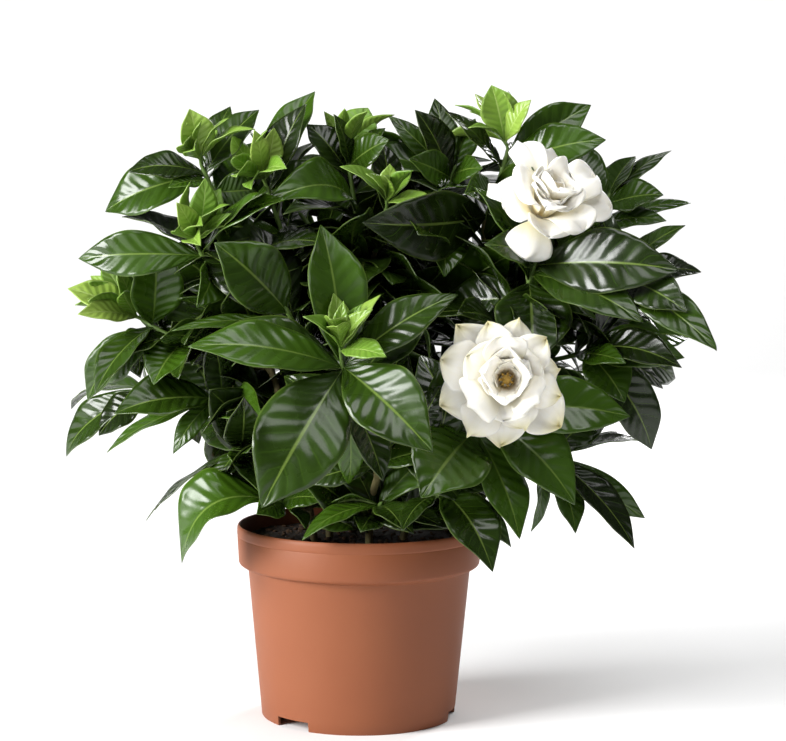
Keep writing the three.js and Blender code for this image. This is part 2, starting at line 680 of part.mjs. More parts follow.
// Flowers. heart is where the petals meet, as seen; axis is the way the flower faces. Each petal is:
// its tip as seen (u, v, y), its width, its lift and its cup.
const FLOWERS = {
  flower_front: {
    shoot: 'shoot_front_flower', heart: [83, 193, -78], axis: [-0.04, -1, 0.12], stigma: true,
    petals: [
      [54, 225, -88, 28, 12, 0.1],
      [72, 227, -92, 22, 12, 0.1],
      [90, 229, -90, 22, 12, 0.2],
      [106, 218, -92, 22, 12, 0.2],
      [114, 200, -90, 24, 12, 0.1],
      [115, 184, -92, 20, 12, 0.1],
      [115, 166, -88, 28, 12, 0.1],
      [94, 164, -92, 22, 12, 0.1],
      [80, 154, -88, 26, 14, 0.1],
      [61, 160, -92, 24, 12, 0.1],
      [45, 178, -86, 28, 12, -0.1],
      [45, 205, -92, 28, 12, 0.1],
      [60, 207, -106, 28, 16, 0.2],
      [82, 219, -108, 24, 16, 0.2],
      [102, 205, -106, 24, 16, 0.2],
      [102, 180, -108, 24, 16, 0.2],
      [82, 169, -106, 26, 16, 0.1],
      [61, 178, -108, 28, 16, 0],
      [84, 211, -114, 20, 8, 0.5],
      [96, 196, -114, 20, 8, 0.5],
      [83, 183, -114, 20, 8, 0.5],
      [71, 197, -114, 20, 8, 0.5],
    ],
  },
  flower_rear: {
    shoot: 'shoot_rear_flower', heart: [100, 287, -34], axis: [0.3, -0.72, 0.62],
    petals: [
      [72, 305, -34, 28, 12, 0.1],
      [80, 291, -48, 24, 12, 0.2],
      [93, 263, -50, 27, 6, 0],
      [88, 329, -20, 20, 12, 0.2],
      [107, 325, -18, 22, 12, 0.3],
      [133, 310, -26, 24, 10, 0.2],
      [142, 293, -38, 26, 10, 0.1],
      [127, 279, -56, 26, 10, 0.2],
      [108, 276, -62, 28, 12, 0.3],
      [118, 309, -44, 22, 16, 0.4],
      [120, 291, -60, 24, 16, 0.4],
      [86, 302, -60, 26, 16, 0.3],
      [99, 309, -62, 20, 12, 0.5],
      [112, 303, -64, 20, 12, 0.5],
      [106, 294, -72, 20, 12, 0.5],
    ],
  },
};
const CALYX_LENGTH = 10;
const CALYX_RADIUS = 2.6;
const TUBE_LENGTH = 14;
const TUBE_RADIUS = 2;
const TUBE_FLARE = 4.5;
const HEART_RADIUS = 8;
const CLAW_RING = 5;
const CLAW_RISE = 0.14;
const PETAL_STEP = 3;
const STIGMA_RADIUS = 2.6;
const STIGMA_REACH = 24;
const SEPAL_COUNT = 6;
const SEPAL_LENGTH = 13;
const SEPAL_SPREAD = 6;
const SEPAL_WIDTH = 3;
const SEPAL_ARCH = 0.05;
const SEPAL_DROP = 3;
const SEPAL_SINK = 1;
const BEAD_SIDES = 8;
const BEAD_RINGS = 6;

// Colours and roughness
const FINISH = {
  pot: [0xb8694a, 0.55],
  soil: [0x1f1813, 0.95],
  wood: [0x6f6240, 0.8],
  leaf: [0x2c5a1c, 0.35],
  growth: [0x8aac3e, 0.4],
  petal: [0xf4f1e6, 0.5],
  stigma: [0x8a6420, 0.6],
};

// The bends that a leaf tries in turn until it clears its neighbours: a shift of its tip as seen, a
// push of its tip in depth, and a roll about its length
const BENDS = [];
for (const [across, up] of [[0, 0], [0, 6], [0, -6], [6, 0], [-6, 0], [0, 12], [0, -12], [10, 8], [-10, 8]]) {
  for (const push of [0, -8, 8, -16, 16, -26, 26, -38, 38]) {
    for (const roll of [0, 16, -16, 32, -32]) {
      BENDS.push({ across, up, push, roll });
    }
  }
}

// Solids already in place, with the boxes that hold them and the node they belong to
const placed = [];

function place(solid, owner, isStem = false) {
  const { min, max } = solid.boundingBox();
  placed.push({ solid, owner, isStem, min, max });
  return solid;
}

// Whether a solid meets anything in place, apart from the pieces that skip picks out
function meets(solid, skip) {
  const { min, max } = solid.boundingBox();
  const apart = (other) => [0, 1, 2].some((k) => other.min[k] > max[k] || other.max[k] < min[k]);
  const near = placed.filter((other) => !apart(other) && !skip(other));
  return near.some((other) => !other.solid.intersect(solid).isEmpty());
}

// A leaf swollen by the clearance all round, without the stretch where it joins its stem
function leafRoom(leaf) {
  const shape = leafPlace({ ...leaf, width: leaf.width + 2 * CLEARANCE });
  const room = (t, s) => shape(JOIN_SHARE + (1 - JOIN_SHARE) * t, s);
  return blade(leaf.rows, leaf.columns, LEAF_THICKNESS + 2 * CLEARANCE, room);
}

// The leaf in the first bend that clears everything, or nothing
function clearLeaf(leaf, owner) {
  const [u, v, y] = leaf.tipSeen;
  for (const { across, up, push, roll } of BENDS) {
    const bent = { ...leaf, tip: seen(u + across, v + up, y + push), turn: leaf.turn + roll };
    const room = leafRoom(bent);
    const solid = blade(leaf.rows, leaf.columns, LEAF_THICKNESS, leafPlace(bent));
    const blocked = meets(room, (other) => other.owner === owner && other.isStem);
    if (!blocked && !meets(solid, (other) => other.owner === owner)) {
      return place(solid, owner);
    }
    room.delete();
    solid.delete();
  }
  return null;
}

// A curve from foot to end that sags a little, as a shoot does under its leaves
function shootCurve(foot, end) {
  const sag = -SHOOT_SAG * foot.distanceTo(end);
  const middle = foot.clone().lerp(end, 0.5).addScaledVector(UP, sag);
  return new THREE.QuadraticBezierCurve3(foot, middle, end);
}

// New growth carries on the way that its shoot ends
function growthCurve(shoot, end) {
  const foot = shoot.v2;
  const middle = foot.clone().addScaledVector(shoot.getTangent(1), GROWTH_REACH * foot.distanceTo(end));
  return new THREE.QuadraticBezierCurve3(foot, middle, end);
}

// A woody stem's curve, from its end in the soil to its crown
function woodCurve({ soil: [x, y], bend, crown }) {
  const root = new THREE.Vector3(x, y, POT_HEIGHT - SOIL_DROP - ROOT_DEPTH);
  const rise = root.clone().addScaledVector(UP, 2 * ROOT_DEPTH);
  return new THREE.CubicBezierCurve3(root, rise, new THREE.Vector3(...bend), new THREE.Vector3(...crown));
}

// A branch that leaves its woody stem along the stem and runs into a shoot's foot
function branchCurve(stem, share, shoot) {
  const start = stem.getPoint(share);
  const reach = BRANCH_REACH * start.distanceTo(shoot.v0);
  const leave = start.clone().addScaledVector(stem.getTangent(share), reach);
  const arrive = shoot.v0.clone().addScaledVector(shoot.getTangent(0), -reach);
  return new THREE.CubicBezierCurve3(start, leave, arrive, shoot.v0);
}

// The far shoots' feet and ends, worked out from their bearings round the pot
function farShoots() {
  const entries = {};
  FAR_SHOOTS.forEach(({ bearing, radius, height, from }, k) => {
    const angle = THREE.MathUtils.degToRad(bearing);
    const out = new THREE.Vector3(Math.cos(angle), Math.sin(angle), 0);
    const end = out.clone().multiplyScalar(radius).setZ(height);
    const foot = end.clone().addScaledVector(out, -FAR_RUN * FAR_SHOOT_LENGTH);
    foot.addScaledVector(UP, -FAR_RISE * FAR_SHOOT_LENGTH);
    entries[`shoot_far_${k + 1}`] = { from, curve: shootCurve(foot, end), leaves: [] };
  });
  return entries;
}

// Every shoot with its curve. Those that grow on another start where that one ends.
function allShoots() {
  const shoots = {};
  for (const [name, { from, on, foot, end, leaves }] of Object.entries(SHOOTS)) {
    const curve = on ? growthCurve(shoots[on].curve, seen(...end)) : shootCurve(seen(...foot), seen(...end));
    shoots[name] = { from, on, curve, leaves };
  }
  return { ...shoots, ...farShoots() };
}

// Whether a place as seen lies inside the cover's outline
function covered([u, v]) {
  let inside = false;
  COVER.forEach(([u1, v1], k) => {
    const [u2, v2] = COVER[(k + 1) % COVER.length];
    if (v1 > v !== v2 > v && u < u1 + ((v - v1) / (v2 - v1)) * (u2 - u1)) {
      inside = !inside;
    }
  });
  return inside;
}

// Where a point stands as seen from the front
function asSeen({ x, y, z }) {
  const reach = 1 - y / EYE.y;
  return [EYE.x + (x - EYE.x) / reach, EYE.z + (z - EYE.z) / reach, y];
}

// The leaves that a rule sets in whorls round a shoot. On the near shoots they only point away from
// the viewer, behind the leaves that are set by hand.
function whorlLeaves(shoot, whorls, far, draw) {
  const leaves = [];
  for (const share of whorls) {
    const spin = draw() * 2 * Math.PI;
    const middle = shoot.curve.getPoint(share);
    const along = shoot.curve.getTangent(share);
    const side = along.clone().cross(UP).normalize();
    const front = side.clone().cross(along);
    for (let k = 0; k < WHORL; k += 1) {
      const angle = spin + (k * 2 * Math.PI) / WHORL;
      const lean = THREE.MathUtils.degToRad(LEAN[0] + (LEAN[1] - LEAN[0]) * draw());
      const length = FILL_LENGTH[0] + (FILL_LENGTH[1] - FILL_LENGTH[0]) * draw();
      const out = side.clone().multiplyScalar(Math.cos(angle)).addScaledVector(front, Math.sin(angle));
      const way = along.clone().multiplyScalar(Math.cos(lean)).addScaledVector(out, Math.sin(lean));
      const tip = middle.clone().addScaledVector(way, length);
      const base = leafBase(shoot.curve, share, tip);
      const look = new THREE.Vector3(base.x, base.y, 0).normalize().addScaledVector(UP, FILL_SKY);
      const form = { ...FLAT_LEAF, width: FILL_BREADTH * length, arch: FILL_ARCH };
      const leaf = { ...form, base, tip, tipSeen: asSeen(tip), look, turn: 0 };
      if (covered(leaf.tipSeen) && (far || tip.y > base.y + AWAY)) {
        leaves.push(leaf);
      }
    }
  }
  return leaves;
}

// Where a leaf joins its shoot: just under the bark, on the side that its tip lies on
function leafBase(curve, share, tip) {
  const middle = curve.getPoint(share);
  const out = tip.clone().sub(middle).projectOnPlane(curve.getTangent(share)).normalize();
  return middle.addScaledVector(out, BARK_DEPTH);
}

function leafForm(width) {
  if (width < SLIM) {
    return FLAT_LEAF;
  }
  return width < BROAD ? SMALL_LEAF : LARGE_LEAF;
}

// The leaves of a shoot that are set by hand
function handLeaves({ curve, leaves }) {
  return leaves.map(([height, u, v, y, width, turn, arch]) => {
    const share = Math.min(height, LAST_NODE);
    const base = leafBase(curve, share, seen(u, v, y));
    const form = { ...leafForm(width), width: BREADTH * width, arch };
    return { ...form, base, tipSeen: [u, v, y], look: EYE.clone().sub(base), turn };
  });
}

// The green tube and sepals that carry a flower, as part of its shoot
function makeCalyx(name, shoot, flower) {
  const seat = flower.heart.clone().addScaledVector(flower.axis, -TUBE_LENGTH - SEAT);
  const start = seat.clone().addScaledVector(flower.axis, -CALYX_LENGTH);
  const bend = start.clone().addScaledVector(flower.axis, -0.5 * CALYX_LENGTH);
  const stalk = rod(new THREE.QuadraticBezierCurve3(shoot.curve.v2, bend, start), SHOOT_RADIUS, 3);
  const tube = rod(new THREE.LineCurve3(start, seat), CALYX_RADIUS, 1);
  const overlap = rod(shootCurve(shoot.curve.getPoint(0.9), shoot.curve.v2), SHOOT_RADIUS, 1);
  const pieces = [place(stalk, name, true), place(tube, name, true), overlap];
  const side = flower.axis.clone().cross(UP).normalize();
  const front = side.clone().cross(flower.axis);
  for (let k = 0; k < SEPAL_COUNT; k += 1) {
    const angle = (k * 2 * Math.PI) / SEPAL_COUNT;
    const out = side.clone().multiplyScalar(Math.cos(angle)).addScaledVector(front, Math.sin(angle));
    const base = seat.clone().addScaledVector(flower.axis, -SEPAL_DROP);
    base.addScaledVector(out, CALYX_RADIUS - SEPAL_SINK);
    const tip = base.clone().addScaledVector(flower.axis, SEPAL_LENGTH).addScaledVector(out, SEPAL_SPREAD);
    const form = { ...FLAT_LEAF, width: SEPAL_WIDTH, arch: SEPAL_ARCH };
    const shape = leafPlace({ ...form, base, tip, look: flower.axis.clone().negate(), turn: 0 });
    const solid = blade(SMALL_LEAF_ROWS, FLAT_COLUMNS, LEAF_THICKNESS, shape);
    if (!meets(solid, (other) => other.owner === name)) {
      pieces.push(place(solid, name));
    }
  }
  return pieces;
}

// A flower: its pale tube, its heart and its petals, in one piece. Every other petal stands a step
// forward, so that neighbours overlap without crossing.
function makeFlower({ heart, axis, petals }) {
  const foot = heart.clone().addScaledVector(axis, -TUBE_LENGTH);
  const tube = new THREE.CylinderGeometry(TUBE_FLARE, TUBE_RADIUS, TUBE_LENGTH, WOOD_SIDES);
  const stand = new THREE.Quaternion().setFromUnitVectors(new THREE.Vector3(0, 1, 0), axis);
  tube.applyQuaternion(stand).translate(...foot.clone().lerp(heart, 0.5).toArray());
  const core = new THREE.SphereGeometry(HEART_RADIUS, BEAD_SIDES, BEAD_RINGS).translate(...heart.toArray());
  const blades = petals.map(([u, v, y, width, lift, cup], k) => {
    const step = k % 2 ? PETAL_STEP : -PETAL_STEP;
    const shape = petalPlace({ heart, axis, tip: seen(u, v, y - step), width, lift: lift + step, cup });
    return blade(PETAL_ROWS, PETAL_COLUMNS, PETAL_THICKNESS, shape);
  });
  return joined([solidOf(tube), solidOf(core), ...blades]);
}

// The brown-gold stigma in the heart of the front flower: a club on a short style
function makeStigma({ heart, axis }) {
  const foot = heart.clone().addScaledVector(axis, HEART_RADIUS + SEAT);
  const head = heart.clone().addScaledVector(axis, STIGMA_REACH - STIGMA_RADIUS);
  const club = new THREE.SphereGeometry(STIGMA_RADIUS, BEAD_SIDES, BEAD_RINGS).translate(...head.toArray());
  return joined([rod(new THREE.LineCurve3(foot, head), TIP_RADIUS, 1), solidOf(club)]);
}

function mesh(name, solid, [color, roughness]) {
  const material = new THREE.MeshStandardMaterial({ color, roughness, metalness: 0 });
  const node = new THREE.Mesh(geometryOf(solid), material);
  node.name = name;
  return node;
}

function build() {
  const plant = new THREE.Group();
  const shoots = allShoots();
  const pot = place(makePot(), 'pot');
  let soil = makeSoil();

  const wood = {};
  for (const [name, entry] of Object.entries(WOOD)) {
    const curve = woodCurve(entry);
    const below = curve.v0.clone().addScaledVector(UP, -SEAT);
    const above = curve.v0.clone().addScaledVector(UP, SEAT);
    soil = soil.subtract(rod(curve, WOOD_RADIUS + SLEEVE, WOOD_STEPS, WOOD_SIDES));
    soil = soil.subtract(rod(new THREE.LineCurve3(below, above), WOOD_RADIUS + SOCKET, 1, WOOD_SIDES));
    wood[name] = { curve, pieces: [rod(curve, WOOD_RADIUS, WOOD_STEPS, WOOD_SIDES)] };
  }
  for (const shoot of Object.values(shoots)) {
    if (shoot.from) {
      const [stem, share] = shoot.from;
      const branch = branchCurve(wood[stem].curve, share, shoot.curve);
      wood[stem].pieces.push(rod(branch, BRANCH_RADIUS, BRANCH_STEPS));
    }
  }
  place(soil, 'soil');
  plant.add(mesh('pot', pot, FINISH.pot), mesh('soil', soil, FINISH.soil));
  for (const [name, { pieces }] of Object.entries(wood)) {
    plant.add(mesh(name, place(joined(pieces), name), FINISH.wood));
  }

  const pieces = {};
  for (const [name, shoot] of Object.entries(shoots)) {
    const { v0, v1, v2 } = shoot.curve;
    const foot = v0.clone().addScaledVector(shoot.curve.getTangent(0), SEAT);
    const radius = shoot.on ? TIP_RADIUS : SHOOT_RADIUS;
    const stem = rod(new THREE.QuadraticBezierCurve3(foot, v1, v2), radius, SHOOT_STEPS);
    pieces[name] = [place(stem, name, true)];
  }

  for (const [name, entry] of Object.entries(FLOWERS)) {
    const axis = new THREE.Vector3(...entry.axis).normalize();
    const flower = { ...entry, heart: seen(...entry.heart), axis };
    plant.add(mesh(name, place(makeFlower(flower), name), FINISH.petal));
    if (entry.stigma) {
      plant.add(mesh(`${name}_stigma`, place(makeStigma(flower), `${name}_stigma`), FINISH.stigma));
    }
    pieces[entry.shoot].push(...makeCalyx(entry.shoot, shoots[entry.shoot], flower));
  }

  // New growth takes its places first, then the other leaves from the broadest to the narrowest
  const draw = seeded(FILL_SEED);
  const leaves = Object.entries(shoots).flatMap(([owner, shoot]) => {
    const lead = shoot.on ? GROWTH_RANK : 0;
    return handLeaves(shoot).map((leaf) => ({ owner, leaf, rank: lead + leaf.width }));
  });
  leaves.sort((a, b) => b.rank - a.rank);
  for (const [name, shoot] of Object.entries(shoots)) {
    if (name.startsWith('shoot')) {
      const far = name.startsWith('shoot_far');
      for (const leaf of whorlLeaves(shoot, far ? FAR_WHORLS : NEAR_WHORLS, far, draw)) {
        leaves.push({ owner: name, leaf });
      }
    }
  }
  for (const { owner, leaf } of leaves) {
    const solid = clearLeaf(leaf, owner);
    if (solid) {
      pieces[owner].push(solid);
    }
  }
  for (const [name, solids] of Object.entries(pieces)) {
    plant.add(mesh(name, joined(solids), name.startsWith('growth') ? FINISH.growth : FINISH.leaf));
  }
  return plant;
}

export default build();
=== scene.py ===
# %% [markdown]
# # A potted gardenia
# A gardenia is a bushy evergreen shrub: a few woody stems rise from the pot and fork into green shoots,
# and each shoot carries whorls of glossy, deeply veined leaves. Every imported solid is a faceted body
# with the right place and outline. This lesson dresses each of them in a finer piece of the same form,
# so the first cell loads those solids and keeps their box.

import json
import math

import bmesh
import bpy
from mathutils import Matrix, Vector, noise
from mathutils.kdtree import KDTree

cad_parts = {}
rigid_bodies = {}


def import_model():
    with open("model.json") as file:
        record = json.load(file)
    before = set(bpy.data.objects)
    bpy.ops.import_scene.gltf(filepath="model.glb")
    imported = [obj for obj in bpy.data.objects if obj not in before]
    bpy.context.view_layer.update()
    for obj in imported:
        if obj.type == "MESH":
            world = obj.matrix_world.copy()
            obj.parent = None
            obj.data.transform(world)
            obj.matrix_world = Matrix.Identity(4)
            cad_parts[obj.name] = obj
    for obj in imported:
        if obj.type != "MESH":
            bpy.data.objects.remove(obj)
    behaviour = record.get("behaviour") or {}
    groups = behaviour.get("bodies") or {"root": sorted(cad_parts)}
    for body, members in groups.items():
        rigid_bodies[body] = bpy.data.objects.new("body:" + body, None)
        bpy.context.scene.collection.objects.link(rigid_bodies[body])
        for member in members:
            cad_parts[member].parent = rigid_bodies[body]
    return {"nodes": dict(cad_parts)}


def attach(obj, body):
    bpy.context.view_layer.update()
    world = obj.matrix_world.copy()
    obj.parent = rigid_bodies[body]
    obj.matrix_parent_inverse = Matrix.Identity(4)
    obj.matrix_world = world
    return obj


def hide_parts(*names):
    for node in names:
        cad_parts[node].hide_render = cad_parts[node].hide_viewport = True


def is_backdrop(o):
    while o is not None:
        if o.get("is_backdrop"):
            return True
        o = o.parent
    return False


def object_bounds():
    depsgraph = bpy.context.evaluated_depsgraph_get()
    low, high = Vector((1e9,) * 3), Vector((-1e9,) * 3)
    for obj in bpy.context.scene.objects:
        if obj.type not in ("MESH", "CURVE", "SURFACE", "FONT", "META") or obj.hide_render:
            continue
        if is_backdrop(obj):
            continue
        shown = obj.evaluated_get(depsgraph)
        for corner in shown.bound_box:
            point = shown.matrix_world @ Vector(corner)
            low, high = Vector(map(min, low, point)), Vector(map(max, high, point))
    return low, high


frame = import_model()
cad_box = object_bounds()
MM = 0.001
UP = Vector((0, 0, 1))
print("solids", len(frame["nodes"]))

# %% [markdown]
# ## The viewer and the plant's measures
# The plant is laid out as a photographer sees it: u across and v up, in millimetres, on the plane
# through the pot's axis, and y in depth. Moving a point in depth along the line of sight keeps it where
# it is seen. The same values drive the solids, so nothing here needs fitting by hand.

# %% Viewer
EYE = Vector((18.5, -1300, 321))


def seen(u, v, y):
    reach = 1 - y / EYE.y
    return Vector((EYE.x + (u - EYE.x) * reach, y, EYE.z + (v - EYE.z) * reach))


def as_seen(point):
    reach = 1 - point.y / EYE.y
    return (EYE.x + (point.x - EYE.x) / reach, EYE.z + (point.z - EYE.z) / reach, point.y)


print("viewer at", tuple(EYE))

# %% [markdown]
# ## Woody stems
# Five old stems carry the crown. Each is given by where it leaves the soil, a point that bends it and
# the point where it ends in the crown, all in millimetres.

# %% Woody stems
WOOD = {
    "stem_left": {"soil": [-24, -12], "bend": [-40, -4, 160], "crown": [-56, 4, 215]},
    "stem_front": {"soil": [6, -26], "bend": [4, -48, 128], "crown": [16, -60, 160]},
    "stem_middle": {"soil": [-17, 4], "bend": [-22, 10, 170], "crown": [4, 18, 255]},
    "stem_right": {"soil": [22, 2], "bend": [52, 2, 140], "crown": [92, 6, 225]},
    "stem_rear": {"soil": [2, 26], "bend": [0, 60, 150], "crown": [2, 76, 225]},
}
print("woody stems", len(WOOD))

# %% [markdown]
# ## Shoots at the front
# Each shoot says which stem it forks from and how far along, where its foot and end are seen, and then
# its leaves. A leaf's row is its height along the shoot, its tip's u, v and depth, the blade's width,
# how far it is turned from the viewer in degrees, and how much it bows.

# %% Front shoots
SHOOTS = {
    "shoot_front_whorl": {
        "from": ["stem_front", 0.75], "foot": [0, 158, -78], "end": [-11, 204, -100],
        "leaves": [
            [0.95, 41, 153, -138, 33, 12, 0.1],
            [0.9, -56, 120, -142, 42, 8, 0.08],
            [0.95, -97, 213, -126, 26, 36, 0.08],
            [0.9, -85, 219, -96, 26, 30, 0.08],
            [0.98, -22, 281, -92, 29, 20, 0.06],
            [0.92, 54, 243, -104, 22, 28, 0.08],
            [0.6, 14, 135, -104, 19, 25, 0.05],
            [0.7, -6, 131, -88, 14, 45, 0.1],
        ],
    },
    "shoot_front_flower": {
        "from": ["stem_front", 0.97], "foot": [54, 152, -66], "end": [80, 182, -52],
        "leaves": [
            [0.85, 154, 174, -62, 28, 22, 0.1],
            [0.35, 36, 127, -112, 39, 12, 0.08],
            [0.7, 124, 123, -76, 32, 28, 0.12],
            [0.45, 93, 103, -92, 24, 30, 0.06],
            [0.2, 34, 208, -50, 24, 15, 0.05],
        ],
    },
    "shoot_rear_flower": {
        "from": ["stem_right", 0.85], "foot": [90, 232, -10], "end": [99, 262, -26],
        "leaves": [
            [0.9, 71, 271, -66, 19, 62, 0.12],
            [0.6, 98, 203, -52, 38, 10, 0.06],
            [0.9, 179, 258, -66, 32, 20, 0.08],
            [0.75, 160, 229, -72, 26, 34, 0.08],
            [0.5, 134, 230, -58, 12, 60, 0.05],
            [0.3, 48, 236, 6, 26, 20, 0.05],
        ],
    },
    "shoot_rim_right": {
        "from": ["stem_front", 0.35], "foot": [34, 121, -44], "end": [48, 130, -66],
        "leaves": [
            [0.9, 77, 84, -98, 27, 26, 0.16],
            [1, 88, 98, -66, 16, 40, 0.1],
            [0.75, 24, 107, -82, 14, 50, 0.1],
            [0.7, 62, 118, -30, 22, 36, 0.08],
        ],
    },
    "shoot_rim_middle": {
        "from": ["stem_front", 0.25], "foot": [8, 116, -44], "end": [12, 121, -56],
        "leaves": [
            [0.9, -33, 102, -80, 14, 55, 0.1],
            [1, 25, 108, -84, 16, 30, 0.1],
            [0.9, -22, 117, -54, 14, 60, 0.16],
            [1, 27, 125, -34, 12, 68, 0.12],
        ],
    },
    "shoot_rim_left": {
        "from": ["stem_left", 0.3], "foot": [-34, 117, -26], "end": [-46, 122, -36],
        "leaves": [
            [1, -103, 88, -42, 38, 50, 0.36],
            [0.8, -30, 107, -66, 12, 50, 0.1],
            [0.8, -58, 116, -58, 14, 60, 0.05],
            [0.9, -20, 124, -58, 16, 44, 0.1],
            [0.8, -72, 132, 8, 20, 40, 0.08],
        ],
    },
}
print("shoots listed", len(SHOOTS))

# %% [markdown]
# ## Shoots on the left
# The left side hangs lowest: its shoots reach out flat and their leaves droop past the rim.

# %% Left shoots
SHOOTS |= {
    "shoot_low_left": {
        "from": ["stem_left", 0.55], "foot": [-52, 142, -10], "end": [-70, 154, -18],
        "leaves": [
            [1, -124, 113, -22, 13, 45, 0.05],
            [0.9, -86, 123, -40, 14, 40, 0.1],
            [0.8, -90, 121, -6, 12, 50, 0.1],
            [0.9, -56, 128, -58, 24, 25, 0.08],
            [1, -66, 180, -48, 20, 30, 0.05],
        ],
    },
    "shoot_left_lower": {
        "from": ["stem_left", 0.75], "foot": [-62, 172, 8], "end": [-84, 182, 6],
        "leaves": [
            [1, -146, 152, 4, 15, 60, 0.05],
            [1, -107, 150, -12, 12, 55, 0.14],
            [0.7, -57, 171, -50, 22, 24, 0.06],
            [1, -140, 174, -22, 26, 45, 0.08],
            [0.8, -84, 218, -30, 20, 30, 0.05],
            [0.2, -62, 128, 34, 22, 20, 0.05],
        ],
    },
    "shoot_left_far": {
        "from": ["stem_left", 0.85], "foot": [-98, 176, 54], "end": [-124, 188, 84],
        "leaves": [
            [0.9, -170, 148, 106, 22, 40, 0.12],
            [1, -166, 177, 124, 22, 40, 0.1],
            [0.8, -150, 160, 76, 22, 36, 0.1],
            [0.7, -112, 212, 84, 24, 30, 0.08],
        ],
    },
    "shoot_left": {
        "from": ["stem_left", 0.97], "foot": [-92, 210, 14], "end": [-121, 224, 22],
        "leaves": [
            [0.9, -152, 185, -6, 18, 44, 0.08],
            [1, -157, 180, 26, 20, 36, 0.12],
            [0.8, -148, 190, 44, 22, 36, 0.1],
            [1, -152, 262, 42, 15, 46, 0.05],
            [1, -133, 262, 26, 16, 40, 0.05],
            [0.95, -116, 270, -6, 27, 12, 0.06],
            [0.5, -106, 224, -18, 12, 50, 0.05],
            [0.3, -118, 190, -14, 24, 30, 0.08],
            [0.5, -138, 204, -2, 22, 32, 0.08],
        ],
    },
    "shoot_left_upper": {
        "from": ["stem_left", 0.97], "foot": [-72, 238, 4], "end": [-92, 266, -6],
        "leaves": [
            [1, -135, 286, -8, 22, 30, 0.08],
            [0.9, -161, 261, 8, 23, 44, 0.1],
            [0.7, -92, 234, -40, 18, 35, 0.1],
            [0.95, -45, 297, -16, 20, 34, 0.08],
            [0.5, -112, 240, 30, 22, 45, 0.08],
            [0.2, -50, 264, 34, 24, 30, 0.06],
            [0.1, -112, 214, 36, 24, 30, 0.06],
        ],
    },
}
print("shoots listed", len(SHOOTS))

# %% [markdown]
# ## Shoots at the top
# The top shoots stand upright and end in clusters of new leaves, so their own leaves are kept short.

# %% Top shoots
SHOOTS |= {
    "shoot_top_left": {
        "from": ["stem_left", 0.97], "foot": [-74, 280, -6], "end": [-90, 312, -6],
        "leaves": [
            [1, -59, 346, 0, 22, 25, 0.05],
            [0.9, -75, 348, 18, 16, 30, 0.05],
            [0.95, -132, 311, -18, 18, 48, 0.1],
            [0.9, -146, 288, 2, 27, 30, 0.1],
            [0.8, -109, 302, -26, 12, 50, 0.05],
            [0.6, -60, 300, -30, 18, 40, 0.05],
            [0.3, -62, 328, 24, 22, 30, 0.05],
        ],
    },
    "shoot_top_middle_left": {
        "from": ["stem_middle", 0.85], "foot": [-40, 264, 8], "end": [-54, 302, -2],
        "leaves": [
            [1, -28, 357, 20, 22, 40, 0.05],
            [0.95, -33, 349, 0, 20, 20, 0.05],
            [0.9, -22, 316, -16, 15, 50, 0.1],
            [0.35, -82, 268, -30, 24, 26, 0.05],
            [0.5, -64, 338, 26, 14, 50, 0.05],
        ],
    },
    "shoot_top_middle": {
        "from": ["stem_middle", 0.97], "foot": [0, 272, 14], "end": [-8, 318, 12],
        "leaves": [
            [0.4, -52, 296, -44, 26, 50, 0.2],
            [0.95, 14, 329, -18, 18, 30, 0.05],
            [1, -15, 343, 8, 12, 50, 0.05],
            [0.8, -31, 338, 18, 20, 40, 0.06],
            [0.8, 12, 336, -8, 16, 40, 0.06],
            [0.3, -43, 290, -62, 16, 74, 0.05],
            [0.6, 30, 313, 20, 18, 45, 0.05],
        ],
    },
    "shoot_top_middle_right": {
        "from": ["stem_middle", 0.97], "foot": [36, 272, 18], "end": [52, 312, 18],
        "leaves": [
            [0.95, -10, 321, 4, 18, 42, 0.08],
            [1, 15, 343, 26, 12, 50, 0.05],
            [1, 41, 353, 34, 16, 45, 0.05],
            [0.9, 31, 346, 6, 18, 42, 0.05],
            [0.8, 63, 342, 34, 20, 36, 0.05],
            [0.9, 28, 318, -14, 18, 36, 0.05],
            [1, 67, 314, -16, 15, 45, 0.05],
            [0.6, 80, 264, -34, 26, 32, 0.06],
            [0.3, 48, 259, -56, 24, 34, 0.1],
        ],
    },
}
print("shoots listed", len(SHOOTS))

# %% [markdown]
# ## Shoots in the middle and on the right
# The middle shoots fill the face of the crown, and those on the right reach furthest from the pot.

